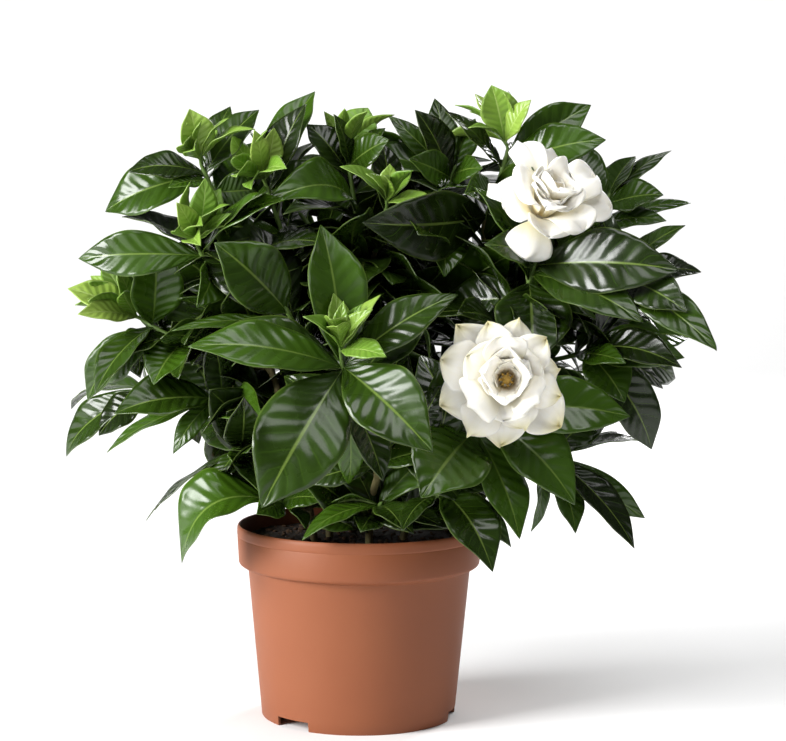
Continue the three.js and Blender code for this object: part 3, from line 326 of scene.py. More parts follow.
# %% Middle and right shoots
SHOOTS |= {
    "shoot_middle": {
        "from": ["stem_middle", 0.9], "foot": [8, 266, 2], "end": [14, 290, -14],
        "leaves": [
            [0.9, 12, 328, -6, 20, 22, 0.06],
        ],
    },
    "shoot_middle_left": {
        "from": ["stem_middle", 0.6], "foot": [-32, 216, -14], "end": [-42, 232, -34],
        "leaves": [
            [0.95, -82, 270, -58, 32, 18, 0.08],
            [0.6, -107, 222, -50, 9, 45, 0.05],
        ],
    },
    "shoot_top_right": {
        "from": ["stem_right", 0.97], "foot": [70, 284, 12], "end": [82, 322, 12],
        "leaves": [
            [0.9, 129, 350, 18, 22, 30, 0.06],
            [0.8, 137, 331, -2, 24, 32, 0.08],
            [0.8, 48, 346, 4, 16, 55, 0.05],
            [0.4, 60, 300, -34, 20, 35, 0.05],
            [0.06, 3, 281, -38, 34, 14, 0.08],
        ],
    },
    "shoot_right_upper": {
        "from": ["stem_right", 0.97], "foot": [118, 262, 12], "end": [139, 297, 12],
        "leaves": [
            [1, 174, 326, 22, 13, 50, 0.05],
            [0.9, 170, 300, -4, 22, 45, 0.05],
            [0.95, 154, 322, 36, 18, 30, 0.05],
            [0.6, 172, 286, -10, 16, 55, 0.05],
            [0.5, 186, 297, 20, 14, 60, 0.05],
            [0.8, 118, 330, 30, 20, 30, 0.05],
        ],
    },
    "shoot_right": {
        "from": ["stem_right", 0.97], "foot": [124, 238, -12], "end": [148, 255, -36],
        "leaves": [
            [1, 182, 283, -50, 15, 50, 0.06],
            [1, 193, 257, -34, 18, 44, 0.06],
            [0.9, 185, 234, -74, 22, 24, 0.08],
            [0.85, 203, 213, -100, 21, 40, 0.08],
            [0.5, 168, 246, -16, 15, 40, 0.05],
            [0.7, 187, 236, -26, 23, 32, 0.08],
        ],
    },
    "shoot_right_lower": {
        "from": ["stem_right", 0.75], "foot": [104, 204, -14], "end": [134, 212, -20],
        "leaves": [
            [1, 182, 203, -34, 20, 40, 0.12],
            [0.9, 174, 190, -16, 16, 45, 0.08],
            [0.8, 151, 182, -44, 24, 30, 0.08],
            [0.95, 168, 154, -12, 24, 24, 0.12],
            [0.9, 187, 220, 6, 24, 40, 0.08],
            [0.7, 184, 208, -8, 23, 30, 0.12],
            [0.6, 162, 186, 6, 23, 30, 0.08],
            [0.6, 150, 205, -58, 14, 60, 0.05],
            [0.95, 182, 196, 34, 24, 30, 0.06],
        ],
    },
    "shoot_right_bottom": {
        "from": ["stem_right", 0.45], "foot": [92, 148, -8], "end": [112, 150, -14],
        "leaves": [
            [1, 164, 114, -14, 16, 32, 0.06],
            [0.9, 159, 98, -32, 18, 36, 0.08],
            [0.8, 125, 106, -34, 17, 40, 0.06],
            [0.9, 165, 161, 14, 14, 62, 0.05],
            [0.5, 100, 106, -24, 12, 60, 0.08],
        ],
    },
}
print("shoots listed", len(SHOOTS))

# %% [markdown]
# ## New growth
# New growth carries on from the end of a shoot. It is a piece of its own because its leaves are yellow
# green, narrow and still folded together.

# %% New growth
SHOOTS |= {
    "growth_front": {
        "on": "shoot_front_whorl", "end": [-11, 213, -104],
        "leaves": [
            [0.8, -15, 242, -102, 12, 30, 0.04],
            [0.7, 10, 242, -108, 11, 58, 0.04],
            [0.6, 14, 207, -128, 13, 45, 0.06],
        ],
    },
    "growth_left": {
        "on": "shoot_left", "end": [-130, 229, 20],
        "leaves": [
            [0.9, -166, 244, 10, 19, 30, 0.06],
            [0.9, -147, 258, 32, 16, 36, 0.04],
            [0.7, -160, 230, -10, 13, 44, 0.05],
            [0.8, -138, 256, 14, 11, 36, 0.03],
        ],
    },
    "growth_top_left": {
        "on": "shoot_top_left", "end": [-91, 319, -10],
        "leaves": [
            [0.9, -97, 345, -20, 18, 16, 0.04],
            [0.8, -82, 334, -4, 9, 40, 0.03],
        ],
    },
    "growth_left_upper": {
        "on": "shoot_left_upper", "end": [-92, 273, -15],
        "leaves": [
            [0.9, -88, 306, -26, 14, 25, 0.04],
            [0.8, -80, 301, -10, 14, 30, 0.04],
            [1, -104, 292, -28, 11, 30, 0.04],
            [0.7, -75, 287, -32, 8, 45, 0.03],
        ],
    },
    "growth_top_middle_left": {
        "on": "shoot_top_middle_left", "end": [-56, 308, -8],
        "leaves": [
            [0.8, -60, 333, -16, 11, 25, 0.03],
            [0.9, -49, 335, -6, 13, 30, 0.03],
            [0.6, -46, 320, -20, 8, 45, 0.03],
        ],
    },
    "growth_top_middle": {
        "on": "shoot_top_middle", "end": [-8, 326, 12],
        "leaves": [
            [0.9, 3, 347, 18, 20, 18, 0.04],
            [0.9, -12, 344, 26, 9, 45, 0.03],
        ],
    },
    "growth_middle": {
        "on": "shoot_middle", "end": [14, 296, -18],
        "leaves": [
            [0.8, 16, 315, -24, 11, 15, 0.04],
            [0.7, 28, 312, -12, 8, 30, 0.04],
            [0.6, 41, 296, -28, 10, 50, 0.06],
        ],
    },
    "growth_top_right": {
        "on": "shoot_top_right", "end": [79, 330, 12],
        "leaves": [
            [0.9, 73, 360, 10, 20, 20, 0.04],
            [1, 83, 357, 20, 15, 32, 0.04],
            [0.7, 64, 356, 24, 13, 45, 0.04],
            [0.8, 94, 352, 4, 13, 45, 0.04],
        ],
    },
}
print("shoots listed", len(SHOOTS))

# %% [markdown]
# ## The far side
# No picture shows the far side, so its shoots are given by bearing, reach and height alone, and their
# leaves come from a rule. An outline of the crown, as the viewer sees it, keeps every leaf that is
# placed by a rule from showing past the leaves that were listed.

# %% Far shoots and outline
FAR_SHOOTS = [
    {"bearing": 22, "radius": 104, "height": 262, "from": ["stem_right", 0.97]},
    {"bearing": 38, "radius": 100, "height": 172, "from": ["stem_right", 0.7]},
    {"bearing": 66, "radius": 94, "height": 222, "from": ["stem_rear", 0.9]},
    {"bearing": 84, "radius": 66, "height": 290, "from": ["stem_rear", 0.97]},
    {"bearing": 92, "radius": 89, "height": 160, "from": ["stem_rear", 0.35]},
    {"bearing": 116, "radius": 94, "height": 240, "from": ["stem_rear", 0.86]},
    {"bearing": 142, "radius": 98, "height": 178, "from": ["stem_rear", 0.75]},
    {"bearing": 158, "radius": 104, "height": 250, "from": ["stem_left", 0.97]},
    {"bearing": 150, "radius": 66, "height": 228, "from": ["stem_middle", 0.6]},
    {"bearing": 150, "radius": 40, "height": 285, "from": ["stem_middle", 0.9]},
    {"bearing": 40, "radius": 40, "height": 226, "from": ["stem_middle", 0.7]},
    {"bearing": -4, "radius": 40, "height": 180, "from": ["stem_front", 0.6]},
    {"bearing": 10, "radius": 100, "height": 186, "from": ["stem_right", 0.6]},
]

COVER = [
    [-62, 120], [-88, 150], [-112, 176], [-142, 190], [-140, 225], [-122, 258], [-104, 298],
    [-66, 326], [-30, 334], [20, 334], [64, 334], [110, 332], [148, 300], [160, 272], [178, 240],
    [166, 206], [146, 190], [118, 172], [116, 132], [84, 122], [44, 120], [0, 114], [-36, 114],
]
print("shoots", len(SHOOTS) + len(FAR_SHOOTS))

# %% [markdown]
# ## The two flowers
# A flower is given by its heart, the way it faces and its petals, the outermost first. A petal's row is
# its tip's u, v and depth, its width, how far it arches forward and how deeply it is cupped.

# %% Flowers
FLOWERS = {
    "flower_front": {
        "shoot": "shoot_front_flower", "heart": [83, 193, -78], "axis": [-0.04, -1, 0.12], "stigma": True,
        "petals": [
            [54, 225, -88, 28, 12, 0.1],
            [72, 227, -92, 22, 12, 0.1],
            [90, 229, -90, 22, 12, 0.2],
            [106, 218, -92, 22, 12, 0.2],
            [114, 200, -90, 24, 12, 0.1],
            [115, 184, -92, 20, 12, 0.1],
            [115, 166, -88, 28, 12, 0.1],
            [94, 164, -92, 22, 12, 0.1],
            [80, 154, -88, 26, 14, 0.1],
            [61, 160, -92, 24, 12, 0.1],
            [45, 178, -86, 28, 12, -0.1],
            [45, 205, -92, 28, 12, 0.1],
            [60, 207, -106, 28, 16, 0.2],
            [82, 219, -108, 24, 16, 0.2],
            [102, 205, -106, 24, 16, 0.2],
            [102, 180, -108, 24, 16, 0.2],
            [82, 169, -106, 26, 16, 0.1],
            [61, 178, -108, 28, 16, 0],
            [84, 211, -114, 20, 8, 0.5],
            [96, 196, -114, 20, 8, 0.5],
            [83, 183, -114, 20, 8, 0.5],
            [71, 197, -114, 20, 8, 0.5],
        ],
    },
    "flower_rear": {
        "shoot": "shoot_rear_flower", "heart": [100, 287, -34], "axis": [0.3, -0.72, 0.62],
        "petals": [
            [72, 305, -34, 28, 12, 0.1],
            [80, 291, -48, 24, 12, 0.2],
            [93, 263, -50, 27, 6, 0],
            [88, 329, -20, 20, 12, 0.2],
            [107, 325, -18, 22, 12, 0.3],
            [133, 310, -26, 24, 10, 0.2],
            [142, 293, -38, 26, 10, 0.1],
            [127, 279, -56, 26, 10, 0.2],
            [108, 276, -62, 28, 12, 0.3],
            [118, 309, -44, 22, 16, 0.4],
            [120, 291, -60, 24, 16, 0.4],
            [86, 302, -60, 26, 16, 0.3],
            [99, 309, -62, 20, 12, 0.5],
            [112, 303, -64, 20, 12, 0.5],
            [106, 294, -72, 20, 12, 0.5],
        ],
    },
}

print("flowers", list(FLOWERS))

# %% [markdown]
# ## Stems as curves
# A woody stem leaves the soil upright and bends over under its load, so a cubic curve with an upright
# start describes it well. A green shoot is short and sags a little in the middle. Both are kept as
# control points, so that a place and a direction can be read anywhere along them.

# %% Curves
class Curve:
    def __init__(self, *controls):
        self.controls = [Vector(control) for control in controls]

    def point(self, t):
        level = self.controls
        while len(level) > 1:
            level = [a.lerp(b, t) for a, b in zip(level, level[1:])]
        return level[0]

    def tangent(self, t):
        level = [b - a for a, b in zip(self.controls, self.controls[1:])]
        while len(level) > 1:
            level = [a.lerp(b, t) for a, b in zip(level, level[1:])]
        return level[0].normalized()


def even_shares(count):
    return [k / count for k in range(count + 1)]


arch = Curve((0, 0, 0), (0, 0, 10), (10, 0, 10))
print("points of an arch", [tuple(arch.point(t)) for t in even_shares(2)])

# %% Curves of the plant
POT_HEIGHT = 110
SOIL_DROP = 9
ROOT_DEPTH = 24
SHOOT_SAG = 0.06
BRANCH_REACH = 0.35
GROWTH_REACH = 0.5


def wood_curve(entry):
    root = Vector((*entry["soil"], POT_HEIGHT - SOIL_DROP - ROOT_DEPTH))
    return Curve(root, root + 2 * ROOT_DEPTH * UP, entry["bend"], entry["crown"])


def shoot_curve(foot, end):
    sag = SHOOT_SAG * (end - foot).length
    return Curve(foot, foot.lerp(end, 0.5) - sag * UP, end)


def growth_curve(shoot, end):
    foot = shoot.controls[-1]
    return Curve(foot, foot + GROWTH_REACH * (end - foot).length * shoot.tangent(1), end)


def branch_curve(stem, share, shoot):
    start, foot = stem.point(share), shoot.controls[0]
    reach = BRANCH_REACH * (foot - start).length
    return Curve(start, start + reach * stem.tangent(share), foot - reach * shoot.tangent(0), foot)


for name, entry in WOOD.items():
    print(name, "ends at", tuple(wood_curve(entry).point(1)))

# %% Shoot curves
FAR_SHOOT_LENGTH = 42
FAR_RUN = 0.75
FAR_RISE = 0.65

shoots = {}
for name, entry in SHOOTS.items():
    if "on" in entry:
        curve = growth_curve(shoots[entry["on"]]["curve"], seen(*entry["end"]))
    else:
        curve = shoot_curve(seen(*entry["foot"]), seen(*entry["end"]))
    shoots[name] = {"from": entry.get("from"), "curve": curve, "leaves": entry["leaves"]}

for k, entry in enumerate(FAR_SHOOTS):
    angle = math.radians(entry["bearing"])
    out = Vector((math.cos(angle), math.sin(angle), 0))
    end = entry["radius"] * out + entry["height"] * UP
    foot = end - FAR_RUN * FAR_SHOOT_LENGTH * out - FAR_RISE * FAR_SHOOT_LENGTH * UP
    shoots[f"shoot_far_{k + 1}"] = {"from": entry["from"], "curve": shoot_curve(foot, end), "leaves": []}
print("shoots with curves", len(shoots))

# %% [markdown]
# ## Where each leaf lies
# A gardenia leaf is a long oval that narrows into a stalk, folds a little along its midrib and bows
# over its length. One function gives the middle of that blade at t along and s across. The solids took,
# for each leaf, the first of a list of small bends that kept it clear of its neighbours. Rather than
# repeat that search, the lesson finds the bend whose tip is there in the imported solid.

# %% Leaf form
LEAF_FOLD = 0.22
BREADTH = 1.15
SLIM = 17
BARK_DEPTH = 0.35
LAST_NODE = 0.92
BROAD_NEAR_TIP = 1.08
FULLNESS = 0.9
SKYWARD = Vector((0.3, 0, 1))


def leaf_outline(t):
    return max(0.0, math.sin(math.pi * t**BROAD_NEAR_TIP)) ** FULLNESS


def leaf_axes(leaf):
    run = leaf["tip"] - leaf["base"]
    along = run.normalized()
    facing = (leaf["look"] - leaf["look"].project(along)).normalized()
    skyward = along.cross(facing)
    if SKYWARD.dot(skyward) < 0:
        skyward.negate()
    turn = math.radians(leaf["turn"])
    face = facing * math.cos(turn) + skyward * math.sin(turn)
    return run.length, along, face, along.cross(face)


def leaf_base(curve, share, tip):
    middle, tangent = curve.point(share), curve.tangent(share)
    out = tip - middle
    return middle + BARK_DEPTH * (out - out.project(tangent)).normalized()


def hand_leaves(shoot):
    leaves = []
    for height, u, v, y, width, turn, arch in shoot["leaves"]:
        base = leaf_base(shoot["curve"], min(height, LAST_NODE), seen(u, v, y))
        fold = LEAF_FOLD if width >= SLIM else 0
        leaf = {"base": base, "tip_seen": (u, v, y), "width": BREADTH * width, "look": EYE - base}
        leaves.append({**leaf, "turn": turn, "arch": arch, "fold": fold})
    return leaves


print("widest part of a blade, at the middle", leaf_outline(0.5))

# %% [markdown]
# ## Leaves set in whorls
# A gardenia sets its leaves in threes round the stem, each three turned against the last. The shoots
# of the far side, and the hidden side of the near ones, are filled by that rule, with a seeded draw for
# the spin, the lean and the length. A seed gives the same draws in every run, so it is always the same
# plant. A leaf whose tip would show past the crown's outline is left out.

# %% Seeded draws
WORD = 0xFFFFFFFF
STRIDE = 0x6D2B79F5


def mixed_bits(state):
    mixed = ((state ^ (state >> 15)) * (state | 1)) & WORD
    mixed ^= (mixed + ((mixed ^ (mixed >> 7)) * (mixed | 61))) & WORD
    return ((mixed ^ (mixed >> 14)) & WORD) / (WORD + 1)


def seeded(seed):
    state = seed
    while True:
        state = (state + STRIDE) & WORD
        yield mixed_bits(state)


def between(span, share):
    return span[0] + (span[1] - span[0]) * share


print("first draw of seed 1", next(seeded(1)))

# %% Leaves set in whorls
WHORL = 3
FAR_WHORLS = [0.5, 0.92]
NEAR_WHORLS = [0.6]
LEAN = [48, 78]
FILL_LENGTH = [58, 76]
FILL_BREADTH = 0.48
FILL_ARCH = 0.1
FILL_SKY = 2
AWAY = 8
FILL_SEED = 7


def covered(u, v):
    inside = False
    for (u1, v1), (u2, v2) in zip(COVER, COVER[1:] + COVER[:1]):
        if (v1 > v) != (v2 > v) and u < u1 + (v - v1) / (v2 - v1) * (u2 - u1):
            inside = not inside
    return inside


def round_axis(axis, angle):
    side = axis.cross(UP).normalized()
    return math.cos(angle) * side + math.sin(angle) * side.cross(axis)


def leaning(along, angle, lean):
    return math.cos(lean) * along + math.sin(lean) * round_axis(along, angle)


def whorl_leaves(shoot, whorls, far, draw):
    leaves = []
    curve = shoot["curve"]
    for share in whorls:
        spin = next(draw) * 2 * math.pi
        middle, along = curve.point(share), curve.tangent(share)
        for k in range(WHORL):
            angle = spin + k * 2 * math.pi / WHORL
            lean = math.radians(between(LEAN, next(draw)))
            length = between(FILL_LENGTH, next(draw))
            tip = middle + length * leaning(along, angle, lean)
            base = leaf_base(curve, share, tip)
            look = Vector((base.x, base.y, 0)).normalized() + FILL_SKY * UP
            u, v, y = as_seen(tip)
            if covered(u, v) and (far or tip.y > base.y + AWAY):
                leaf = {"base": base, "tip_seen": (u, v, y), "width": FILL_BREADTH * length, "look": look}
                leaves.append({**leaf, "turn": 0, "arch": FILL_ARCH, "fold": 0})
    return leaves


print("middle of the crown covered", covered(0, 200))

# %% [markdown]
# ## Bends read from the solids
# The search for a leaf's bend starts from the leaf as it was laid out and tries the same small steps as
# the solids did. A bend is right where both corners of the blade's tip are found in the solid.

# %% Bends read from the solids
SHIFTS = [(0, 0), (0, 6), (0, -6), (6, 0), (-6, 0), (0, 12), (0, -12), (10, 8), (-10, 8)]
PUSHES = [0, -8, 8, -16, 16, -26, 26, -38, 38]
ROLLS = [0, 16, -16, 32, -32]
SOLID_THICKNESS = 0.8
CLOSE = 0.03 * MM
ARC = 4  # ARC * t * (1 - t) rises from 0 to 1 and falls back, and leaves its ends at this slope


def tree_of(points):
    tree = KDTree(len(points))
    for k, point in enumerate(points):
        tree.insert(point, k)
    tree.balance()
    return tree


def solid_corners(name):
    return tree_of([vertex.co for vertex in frame["nodes"][name].data.vertices])


def tip_fits(leaf, tree):
    _, along, face, _ = leaf_axes(leaf)
    normal = (face + along * leaf["arch"] * ARC).normalized()
    corners = [leaf["tip"] + normal * side * SOLID_THICKNESS / 2 for side in (1, -1)]
    return all(tree.find(corner * MM)[2] < CLOSE for corner in corners)


def bent_leaf(leaf, tree):
    u, v, y = leaf["tip_seen"]
    for across, up in SHIFTS:
        for push in PUSHES:
            tip = seen(u + across, v + up, y + push)
            for roll in ROLLS:
                bent = {**leaf, "tip": tip, "turn": leaf["turn"] + roll}
                if tip_fits(bent, tree):
                    return bent
    return None


trees = {name: solid_corners(name) for name in shoots}
print("solids read", len(trees))

# %% Leaves found
draw = seeded(FILL_SEED)
for name, shoot in shoots.items():
    shoot["found"] = hand_leaves(shoot)
for name, shoot in shoots.items():
    if name.startswith("shoot"):
        far = name.startswith("shoot_far")
        shoot["found"] += whorl_leaves(shoot, FAR_WHORLS if far else NEAR_WHORLS, far, draw)
asked = sum(len(shoot["found"]) for shoot in shoots.values())
for name, shoot in shoots.items():
    fitted = [bent_leaf(leaf, trees[name]) for leaf in shoot["found"]]
    shoot["found"] = [leaf for leaf in fitted if leaf]
print("leaves", sum(len(shoot["found"]) for shoot in shoots.values()), "of", asked)

# %% [markdown]
# ## Tools for building pieces
# A piece that stands for a solid is laid out in millimetres, turned to metres and made an object at the
# origin. Round stems are Blender curves with a bevel, since a curve keeps its section square to its
# path and closes its own ends. A waved leaf margin may stray past the box of the solids, so the last
# step of a piece brings such points back to it.

# %% Piece tools
def object_from(mesh, name, *materials):
    mesh.name = name
    for material in materials:
        mesh.materials.append(material)
    piece = bpy.data.objects.new(name, mesh)
    bpy.context.collection.objects.link(piece)
    return piece


def baked(source):
    depsgraph = bpy.context.evaluated_depsgraph_get()
    mesh = bpy.data.meshes.new_from_object(source.evaluated_get(depsgraph), depsgraph=depsgraph)
    bpy.data.objects.remove(source)
    return mesh


def mesh_from(bm):
    mesh = bpy.data.meshes.new("work")
    bm.to_mesh(mesh)
    bm.free()
    return mesh


def joined(meshes):
    bm = bmesh.new()
    for mesh in meshes:
        bm.from_mesh(mesh)
        bpy.data.meshes.remove(mesh)
    bmesh.ops.recalc_face_normals(bm, faces=bm.faces[:])
    return mesh_from(bm)


print("meshes so far", len(bpy.data.meshes))

# %% Round stems
UNDER, SKIN = 1, 2


def tubes(paths, sides=2):
    curve = bpy.data.curves.new("tubes", "CURVE")
    curve.dimensions = "3D"
    curve.bevel_depth = MM
    curve.bevel_resolution = sides
    curve.use_fill_caps = True
    for path in paths:
        spline = curve.splines.new("POLY")
        spline.points.add(len(path) - 1)
        for point, (place, radius) in zip(spline.points, path):
            point.co = (*(place * MM), 1)
            point.radius = radius
    holder = bpy.data.objects.new("tubes", curve)
    bpy.context.collection.objects.link(holder)
    return baked(holder)


def painted(mesh, index=0):
    while mesh.uv_layers:
        mesh.uv_layers.remove(mesh.uv_layers[0])
    middle = mesh.uv_layers.new(name="blade")
    middle.data.foreach_set("uv", [0.5] * 2 * len(mesh.loops))
    mesh.polygons.foreach_set("material_index", [index] * len(mesh.polygons))
    return mesh


print("a blade's underside and a stem's skin are materials", UNDER, "and", SKIN)

# %% Pieces that stand for solids
def held_in_box(mesh):
    low, high = cad_box
    for vert in mesh.vertices:
        vert.co = [min(max(part, least), most) for part, least, most in zip(vert.co, low, high)]


def dressed(mesh, name, slot, *materials):
    held_in_box(mesh)
    piece = object_from(mesh, f"fine_{name}", *materials)
    mesh.shade_smooth()
    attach(piece, "root")
    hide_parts(name)
    return piece


print("box of the solids", cad_box)

# %% [markdown]
# ## Blades
# Leaves, petals and sepals are all thin blades. Each starts as a flat grid, is laid along its own form
# and gets its thickness from a Solidify modifier. The grid's map keeps where a point lies along and
# across the blade, which is what the veins follow, and a tone tells one blade from the next.

# %% Blade tools
BLADE_END = 0.001
MERGE = 1e-6


def blade_sheet(bm, rows, columns, place, tone):
    uv = bm.loops.layers.uv.get("blade") or bm.loops.layers.uv.new("blade")
    tones = bm.verts.layers.float.get("tone") or bm.verts.layers.float.new("tone")
    made = bmesh.ops.create_grid(bm, x_segments=columns, y_segments=rows, size=0.5)
    verts = made["verts"]
    where = {vert: (2 * vert.co.x, vert.co.y + 0.5) for vert in verts}
    faces = {face for vert in verts for face in vert.link_faces}
    for face in faces:
        for loop in face.loops:
            s, t = where[loop.vert]
            loop[uv].uv = ((s + 1) / 2, t)
    for vert, (s, t) in where.items():
        vert.co = place(t, s) * MM
        vert[tones] = tone
    ends = [vert for vert, (s, t) in where.items() if min(t, 1 - t) < BLADE_END]
    bmesh.ops.remove_doubles(bm, verts=ends, dist=MERGE)


def thick(bm, thickness):
    sheet = object_from(mesh_from(bm), "sheet")
    solid = sheet.modifiers.new("thickness", "SOLIDIFY")
    solid.thickness = thickness * MM
    solid.offset = 0
    solid.material_offset = UNDER
    return baked(sheet)


print("a blade's end closes over", BLADE_END, "of its length")

# %% [markdown]
# ## The leaf blade
# A gardenia leaf isn't flat. Its blade swells between the side veins, waves along its margin, droops
# at its tip, and may twist or roll as it ages. Each of these is a small height over the bowed blade,
# most of them in shares of its half width. One drawn number a leaf sets how strong each is, so that no
# two leaves catch the light alike. The midrib stands out below as a tapering cord.

# %% Leaf profile
LEAF_THICKNESS = 0.45
STALK_HALF = 0.75
STALK_END = 0.16
TAPER = 0.2
TAPER_START = 0.78
DROOP = 0.045
DROOP_START = 0.55


def past(t, start):
    return max(0.0, (t - start) / (1 - start))


def leaf_bow(leaf, length, t):
    return length * (ARC * leaf["arch"] * t * (1 - t) - DROOP * past(t, DROOP_START) ** 2)


def leaf_half(leaf, t):
    half = leaf["width"] / 2 * leaf_outline(t) * (1 - TAPER * past(t, TAPER_START))
    return max(half, STALK_HALF * (1 - t / STALK_END))


print("half width of a stalk", leaf_half({"width": 30}, 0))

# %% Leaf blade
VEIN_PAIRS = 9
VEIN_SWEEP = 0.16
QUILT = 0.42
QUILT_LEVEL = 0.6
QUILT_SPAN = (0.3, 1)
QUILTED_WIDTH = 26
LEAST_FOLD = 0.1
KEEL = 0.1
WAVE = 0.09
WAVES = 2.3
WAVE_SLANT = 0.3
TWIST_SPAN = (-0.22, 0.22)
ROLL_SPAN = (-0.1, 0.2)
QUILT_DRAW, TWIST_DRAW, ROLL_DRAW = 7, 3, 11


def drawn(span, wave, turn):
    return between(span, wave * turn % 1)


def quilting(t, side):
    bulge = abs(math.sin(math.pi * VEIN_PAIRS * (t - VEIN_SWEEP * side)))
    return math.sin(math.pi * t) * ARC * side * (1 - side) * (bulge - QUILT_LEVEL)


def leaf_surface(leaf, wave):
    length, along, face, across = leaf_axes(leaf)
    fold = max(leaf["fold"], LEAST_FOLD)
    quilt = QUILT * drawn(QUILT_SPAN, wave, QUILT_DRAW) * min(1.0, leaf["width"] / QUILTED_WIDTH)
    twist = drawn(TWIST_SPAN, wave, TWIST_DRAW)
    roll = drawn(ROLL_SPAN, wave, ROLL_DRAW)

    def place(t, s):
        half = leaf_half(leaf, t)
        folded = fold * (math.hypot(s, KEEL) - KEEL)
        ripple = WAVE * s * s * math.sin(2 * math.pi * (WAVES * t + wave + WAVE_SLANT * s))
        lift = half * (folded + ripple + twist * s * t + roll * s * s) + quilt * quilting(t, abs(s))
        rise = lift + leaf_bow(leaf, length, t)
        return leaf["base"] + along * length * t + across * half * s + face * rise

    return place


print("swelling between veins, mid-leaf", quilting(0.5, 0.5))

# %% Midrib
RIB_STEPS = 9
RIB_SIDES = 1
RIB_RADIUS = 0.35
RIB_SPREAD = 0.016
RIB_SINK = 0.3
RIB_TAPER = 0.75


def leaf_rib(leaf):
    length, along, face, _ = leaf_axes(leaf)
    radius = RIB_RADIUS + RIB_SPREAD * leaf["width"]
    sink = RIB_RADIUS + RIB_SINK * radius
    path = []
    for k in range(RIB_STEPS):
        t = k / RIB_STEPS
        rise = leaf_bow(leaf, length, t) - sink
        path.append((leaf["base"] + along * length * t + face * rise, radius * (1 - RIB_TAPER * t)))
    return path


widest = max(leaf["width"] for shoot in shoots.values() for leaf in shoot["found"])
print("thickest midrib, in mm", RIB_RADIUS + RIB_SPREAD * widest)

# %% [markdown]
# ## Inner leaves
# Behind the leaves that show, older leaves fill the crown and make its gaps dark. They are placed by a
# rule: whorls of three along every branch, each leaf tried at several leans until it stays clear of all
# the others, and left out if none is clear.

# %% Room for a leaf
PROBE_START = 0.12
PROBE_STEP = 0.14
PROBE_COUNT = 7
PROBE_SIDES = (-0.7, 0, 0.7)


def blade_points(leaf):
    surface = leaf_surface(leaf, 0)
    spots = [PROBE_START + PROBE_STEP * k for k in range(PROBE_COUNT)]
    return [surface(t, side) for t in spots for side in PROBE_SIDES]


def has_room(leaf, tree, clear):
    past_stalk = blade_points(leaf)[len(PROBE_SIDES) :]
    return all(tree.find(point)[2] > clear for point in past_stalk)


taken = [point for shoot in shoots.values() for leaf in shoot["found"] for point in blade_points(leaf)]
print("points on the leaves found", len(taken))

# %% Inner leaf
INNER = {"length": (34, 68), "lean": (35, 88), "breadth": 0.46, "fold": 0.12, "clear": 3.0}
YOUNG = {"length": (24, 40), "lean": (8, 50), "breadth": 0.34, "fold": 0.35, "clear": 1.2}
INNER_SWING = (-0.45, 0.45)
INNER_ARCH = 0.08
INNER_FRONT = -78
INNER_LOW = 112
INNER_SKIRT = 122


def inner_leaf(curve, share, angle, form, draw):
    middle, along = curve.point(share), curve.tangent(share)
    lean = math.radians(between(form["lean"], next(draw)))
    length = between(form["length"], next(draw))
    turned = angle + between(INNER_SWING, next(draw))
    tip = middle + length * leaning(along, turned, lean)
    look = Vector((middle.x, middle.y, 0)).normalized() + UP
    base = leaf_base(curve, share, tip)
    leaf = {"base": base, "tip": tip, "width": form["breadth"] * length, "look": look}
    return {**leaf, "turn": 0, "arch": INNER_ARCH, "fold": form["fold"]}


def behind(leaf):
    points = blade_points(leaf)
    u, v, _ = as_seen(leaf["tip"])
    low = min(point.z for point in points)
    ahead = min(point.y for point in points)
    return covered(u, max(v, INNER_SKIRT)) and low > INNER_LOW and ahead > INNER_FRONT


def away(leaf):
    return behind(leaf) and leaf["tip"].y > leaf["base"].y + AWAY


def under(height):
    def fits(leaf):
        return leaf["tip"].z < height

    return fits


print("an inner leaf is at most", INNER["length"][1], "mm long")

# %% Inner leaves grown
INNER_SHARES = [0.2, 0.4, 0.55, 0.7, 0.85]
OWN_SHARES = [0.25, 0.8]
INNER_TRIES = 20
INNER_SEED = 31
YOUNG_COUNT = 6
YOUNG_SPIN = 2.4
YOUNG_SHARES = (0.7, 0.9)


def grown(shoot, curve, share, angle, form, fits, draw):
    tree = tree_of(taken)
    for _ in range(INNER_TRIES):
        leaf = inner_leaf(curve, share, angle, form, draw)
        if fits(leaf) and has_room(leaf, tree, form["clear"]):
            shoot["inner"].append(leaf)
            taken.extend(blade_points(leaf))
            return


draw = seeded(INNER_SEED)
for name, shoot in shoots.items():
    shoot["inner"] = []
    if shoot["from"]:
        stem, start = shoot["from"]
        branch = branch_curve(wood_curve(WOOD[stem]), start, shoot["curve"])
        places = [(branch, share, behind) for share in INNER_SHARES]
        places += [(shoot["curve"], share, away) for share in OWN_SHARES]
        for curve, share, fits in places:
            spin = next(draw) * 2 * math.pi
            for k in range(WHORL):
                grown(shoot, curve, share, spin + k * 2 * math.pi / WHORL, INNER, fits, draw)
    if name.startswith("growth"):
        tallest = max(leaf["tip"].z for leaf in shoot["found"])
        for k in range(YOUNG_COUNT):
            share = between(YOUNG_SHARES, k / (YOUNG_COUNT - 1))
            grown(shoot, shoot["curve"], share, YOUNG_SPIN * k, YOUNG, under(tallest), draw)
print("inner leaves", sum(len(shoot["inner"]) for shoot in shoots.values()))

# %% [markdown]
# ## Flowers
# A double gardenia is a pale tube that opens into layers of thick petals, each narrow at its claw and
# broad near its end. The outer petals arch back and curl under at the rim, and the inner ones stand up
# and cup round the heart. Each petal rises from the heart and bends over on a quadratic curve.

